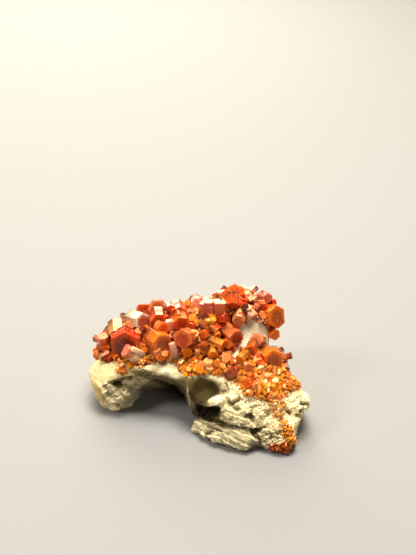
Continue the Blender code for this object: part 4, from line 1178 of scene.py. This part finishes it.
def ground_shell(name, reach, rise):
    """A closed shell over the part of the rock that reach() covers."""
    points, normals = places_and_normals(rock.data)
    cover = reach(points)
    bump = each(points * 1.5, lambda p: noise.noise(p) + 0.5 * noise.noise(p * 2.7))
    lift = -GROUND_SUNK + (rise + GROUND_SUNK) * risen(cover) + bump * 0.22
    bm = bmesh.new()
    bm.from_mesh(rock.data)
    bm.verts.ensure_lookup_table()
    for index in np.nonzero(cover > SHELL_EDGE)[0]:
        bm.verts[index].co += Vector(normals[index]) * float(lift[index]) * MM
    far_off = [bm.verts[index] for index in np.nonzero(cover <= SHELL_EDGE)[0]]
    bmesh.ops.delete(bm, geom=far_off, context="VERTS")
    bmesh.ops.recalc_face_normals(bm, faces=bm.faces)
    shell = object_of(bm, name)
    wall = shell.modifiers.new("wall", "SOLIDIFY")
    wall.thickness = GROUND_WALL * MM
    wall.offset = -1
    applied(shell)
    u, v, _ = display_places(mesh_array(shell.data, "co") / MM)
    store(shell.data, "warm", patches(u, v, WARM_PLACES))
    store(shell.data, "dusty", patches(u, v, DUSTY_PLACES))
    return shell


ground = ground_shell("crust_ground", crust_margin, GROUND_RISE)
print("ground:", len(ground.data.polygons), "faces")

# %% [markdown]
# The small crystals
#
# A few thousand small prisms are scattered over the ground, each leaning its own way from square
# to the rock. They are the same six-sided prism with one plate, no ledges and sharp edges,
# because at this size only the outline and the glint show. Where a large crystal already stands,
# none is put. The colour and the size follow the place: red and larger along the top, yellow and
# orange and very small towards the lower right, where the crust thins out to a dusting.

# %% Whether a place is taken
def buried(place, bodies):
    """Whether a place lies within a large crystal."""
    for inverse, across, length in bodies:
        own = inverse @ place
        if -length < own.z < 0.5 and hexagon_distance(own) < across * 0.46:
            return True
    return False


# %% Scatter them
SCATTER_EDGE = -0.5  # mm, how far outside the crust a small crystal may still stand


def scatter(name, reach, count, seed, rise, zones=zone_of):
    dice = random.Random(seed)
    points, normals = places_and_normals(rock.data)
    cover = reach(points)
    open_to = np.nonzero(cover > SCATTER_EDGE)[0]
    u, v, _ = display_places(points)
    cluster, bodies, placed = new_cluster(), large_bodies + far_bodies, 0
    for _ in range(count):
        at = int(open_to[dice.randrange(len(open_to))])
        sizes, tones = zones(u[at], v[at])
        small, big = sizes
        across = small + (big - small) * dice.random() ** 1.7  # small ones are the most common
        across = min(across, 0.6 + 0.9 * max(0.0, cover[at]))
        normal = Vector(normals[at])
        end = (Vector(points[at]) + normal * (rise * risen(cover[at]) + 0.42 * across)) * MM
        if buried(end, bodies):
            continue
        lean = Vector([dice.uniform(-1.6, 1.6) for _ in range(3)])
        body = prism(dice, across, across * dice.uniform(0.9, 1.4), 0)
        remember(body, across, dice.choice(tones), dice)
        stand(body, end, (normal + lean).normalized(), dice.uniform(0, 60))
        if min(vert.co.z for vert in body.verts) < 0:
            body.free()
            continue
        gather(cluster, body)
        placed += 1
    print(name, placed, "of", count, "placed")
    return object_of(cluster, name)


small = scatter("small_crystals", crust_margin, 5200, 21, GROUND_RISE)
print("small crystals:", len(small.data.polygons), "faces")

# %% [markdown]
# The two patches that stand apart
#
# Druse also sits at the lower right corner, orange above and brown at its foot, and there is a
# spot of it on the left lobe. They are made in the same way as the main crust, each over its own
# area.

# %% The corner patch and the lobe patch
corner_reach, lobe_reach = patch_margin(CORNER_AREA), patch_margin(LOBE_AREA)
UPPER_TONES = "yellow orange peach yellow".split()
CORNER_TONES = "brown dull brown brown maroon maroon".split()
LOBE_TONES = "orange yellow peach orange".split()
CORNER_RISE, LOBE_RISE = 0.6, 0.25  # mm
CORNER_TURN = -24.5  # mm, the height as seen at which the corner turns brown


def corner_zone(u, v):
    return (0.4, 1.1), UPPER_TONES if v > CORNER_TURN else CORNER_TONES


def lobe_zone(u, v):
    return (0.4, 1.2), LOBE_TONES


corner_ground = ground_shell("corner_ground", corner_reach, CORNER_RISE)
corner = scatter("corner_crystals", corner_reach, 330, 31, CORNER_RISE, corner_zone)
lobe_ground = ground_shell("lobe_ground", lobe_reach, LOBE_RISE)
lobe = scatter("lobe_crystals", lobe_reach, 45, 41, LOBE_RISE, lobe_zone)

# %% [markdown]
# The crystals' finish
#
# Vanadinite bends light strongly, so its faces mirror a lamp with a pale glare even seen square
# on. That is the index of refraction. It is set lower than the mineral's own and its glare is
# tinted, because the full glare would wash the colours out. Light also soaks into a crystal and
# comes out redder, which is the subsurface part. The colour runs from the crystal's rim to its
# heart, is clouded and cracked inside, and fine lines follow the growth along the prism. Real
# transmission would show the rock behind each crystal, but these crystals are too cloudy for
# that.


# %% The crystals' nodes
def crystal_finish(name, cloud, murk):
    """The cloud whitens the cracks and the murk darkens the clouds."""
    material, tree, shader = new_material(name)
    own = stored(tree, "own", "Vector")
    clouds = noise_at(tree, own, 0.9, 5.0, 0.62)
    stretched = add(tree, "ShaderNodeMapping", {"Scale": (1.8, 1.8, 0.15)}, {"Vector": own})
    lines = noise_at(tree, stretched.outputs[0], 1.0, 4.0, 0.6)
    cracks = add(tree, "ShaderNodeTexVoronoi", {"Scale": 0.75}, {"Vector": own},
                 feature="DISTANCE_TO_EDGE").outputs[0]
    uneven = add(tree, "ShaderNodeMath", {1: 0.45}, {0: clouds, 2: stored(tree, "heart")},
                 operation="MULTIPLY_ADD").outputs[0]
    heart = ramp(tree, uneven, 0.25, 0.62)
    colour = mixed(tree, heart, stored(tree, "rim", "Color"), stored(tree, "core", "Color"))
    pale, dark = ramp(tree, clouds, 0.55, 0.80), ramp(tree, clouds, 0.45, 0.25)
    colour = toned(tree, pale, colour, 0.4, (0.80, 0.38, 0.18), "MIX")
    colour = toned(tree, dark, colour, murk, (0.35, 0.10, 0.06))
    thin = ramp(tree, cracks, 0.045, 0.0)
    colour = toned(tree, thin, colour, cloud, (0.80, 0.42, 0.20), "MIX")
    grown = bump_of(tree, lines, 0.15, 0.00010)
    relief = bump_of(tree, clouds, 0.25, 0.00009, grown)
    finished(
        tree, shader,
        {"IOR": 1.75, "Specular Tint": (1.0, 0.52, 0.30, 1.0), "Subsurface Weight": 0.08,
         "Subsurface Radius": (1.0, 0.28, 0.08), "Subsurface Scale": 0.0011},
        {"Base Color": colour, "Roughness": ramp(tree, clouds, 0.05, 2.1), "Normal": relief})
    return material


def ground_finish(name):
    """The ground is too fine to model further: grains in three colours with painted shade in the
    pits between.
    """
    material, tree, shader = new_material(name)
    place = own_place(tree)
    grains = add(tree, "ShaderNodeTexVoronoi", {"Scale": 1500.0}, {"Vector": place})
    grain, far_in = grains.outputs["Color"], grains.outputs["Distance"]
    share = add(tree, "ShaderNodeSeparateColor", links={0: grain}).outputs[0]
    # The dark red is partly the crust's own colour and partly painted shade for the deep gaps
    # between crystals.
    red = mixed(tree, share, (0.07, 0.008, 0.003), (0.18, 0.032, 0.006))
    orange = mixed(tree, share, (0.52, 0.160, 0.016), (0.78, 0.380, 0.060))
    dust = mixed(tree, share, (0.80, 0.42, 0.09), (1.0, 0.70, 0.28))
    warm = add(tree, "ShaderNodeMath", {1: 0.5},
               {0: noise_at(tree, place, 240.0, 4.0), 2: stored(tree, "warm")},
               operation="MULTIPLY_ADD").outputs[0]
    colour = mixed(tree, ramp(tree, warm, 0.5, 0.9), red, orange)
    colour = mixed(tree, stored(tree, "dusty"), colour, dust)
    # Painted shade: darker towards the edges of the grains, in the pits between them.
    colour = toned(tree, ramp(tree, far_in, 0.35, 0.62), colour, 0.8, (0.42, 0.16, 0.06))
    finished(
        tree, shader, {"Roughness": 0.55, "Specular Tint": (1.0, 0.66, 0.44, 1.0)},
        {"Base Color": colour, "Normal": bump_of(tree, far_in, 0.8, 0.0003, invert=True)})
    return material


# %% Dress the crystals and their ground
vanadinite = crystal_finish("vanadinite_glassy", 0.18, 0.7)
fine_vanadinite = crystal_finish("vanadinite_fine", 0.2, 0.35)
druse_ground = ground_finish("fine_druse")
dress(large, vanadinite, "vanadinite_crust")
dress(far, vanadinite, "vanadinite_crust")
dress(small, fine_vanadinite, "vanadinite_crust")
dress(ground, druse_ground, "vanadinite_crust")
dress(corner, fine_vanadinite, "corner_druse")
dress(corner_ground, druse_ground, "corner_druse")
dress(lobe, fine_vanadinite, "lobe_druse")
dress(lobe_ground, druse_ground, "lobe_druse")

# %% [markdown]
# Compare the size
#
# The dressed specimen has to be as large as the solid one. The last lines print how far each end of
# its box lies from the solid's box.

# %% Print how far the box ends moved
dressed_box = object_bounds()
for side, low, high in zip("xyz", dressed_box[0] - CAD_BOX[0], dressed_box[1] - CAD_BOX[1]):
    print(side, "box ends moved by", round(low / MM, 2), "and", round(high / MM, 2), "mm")
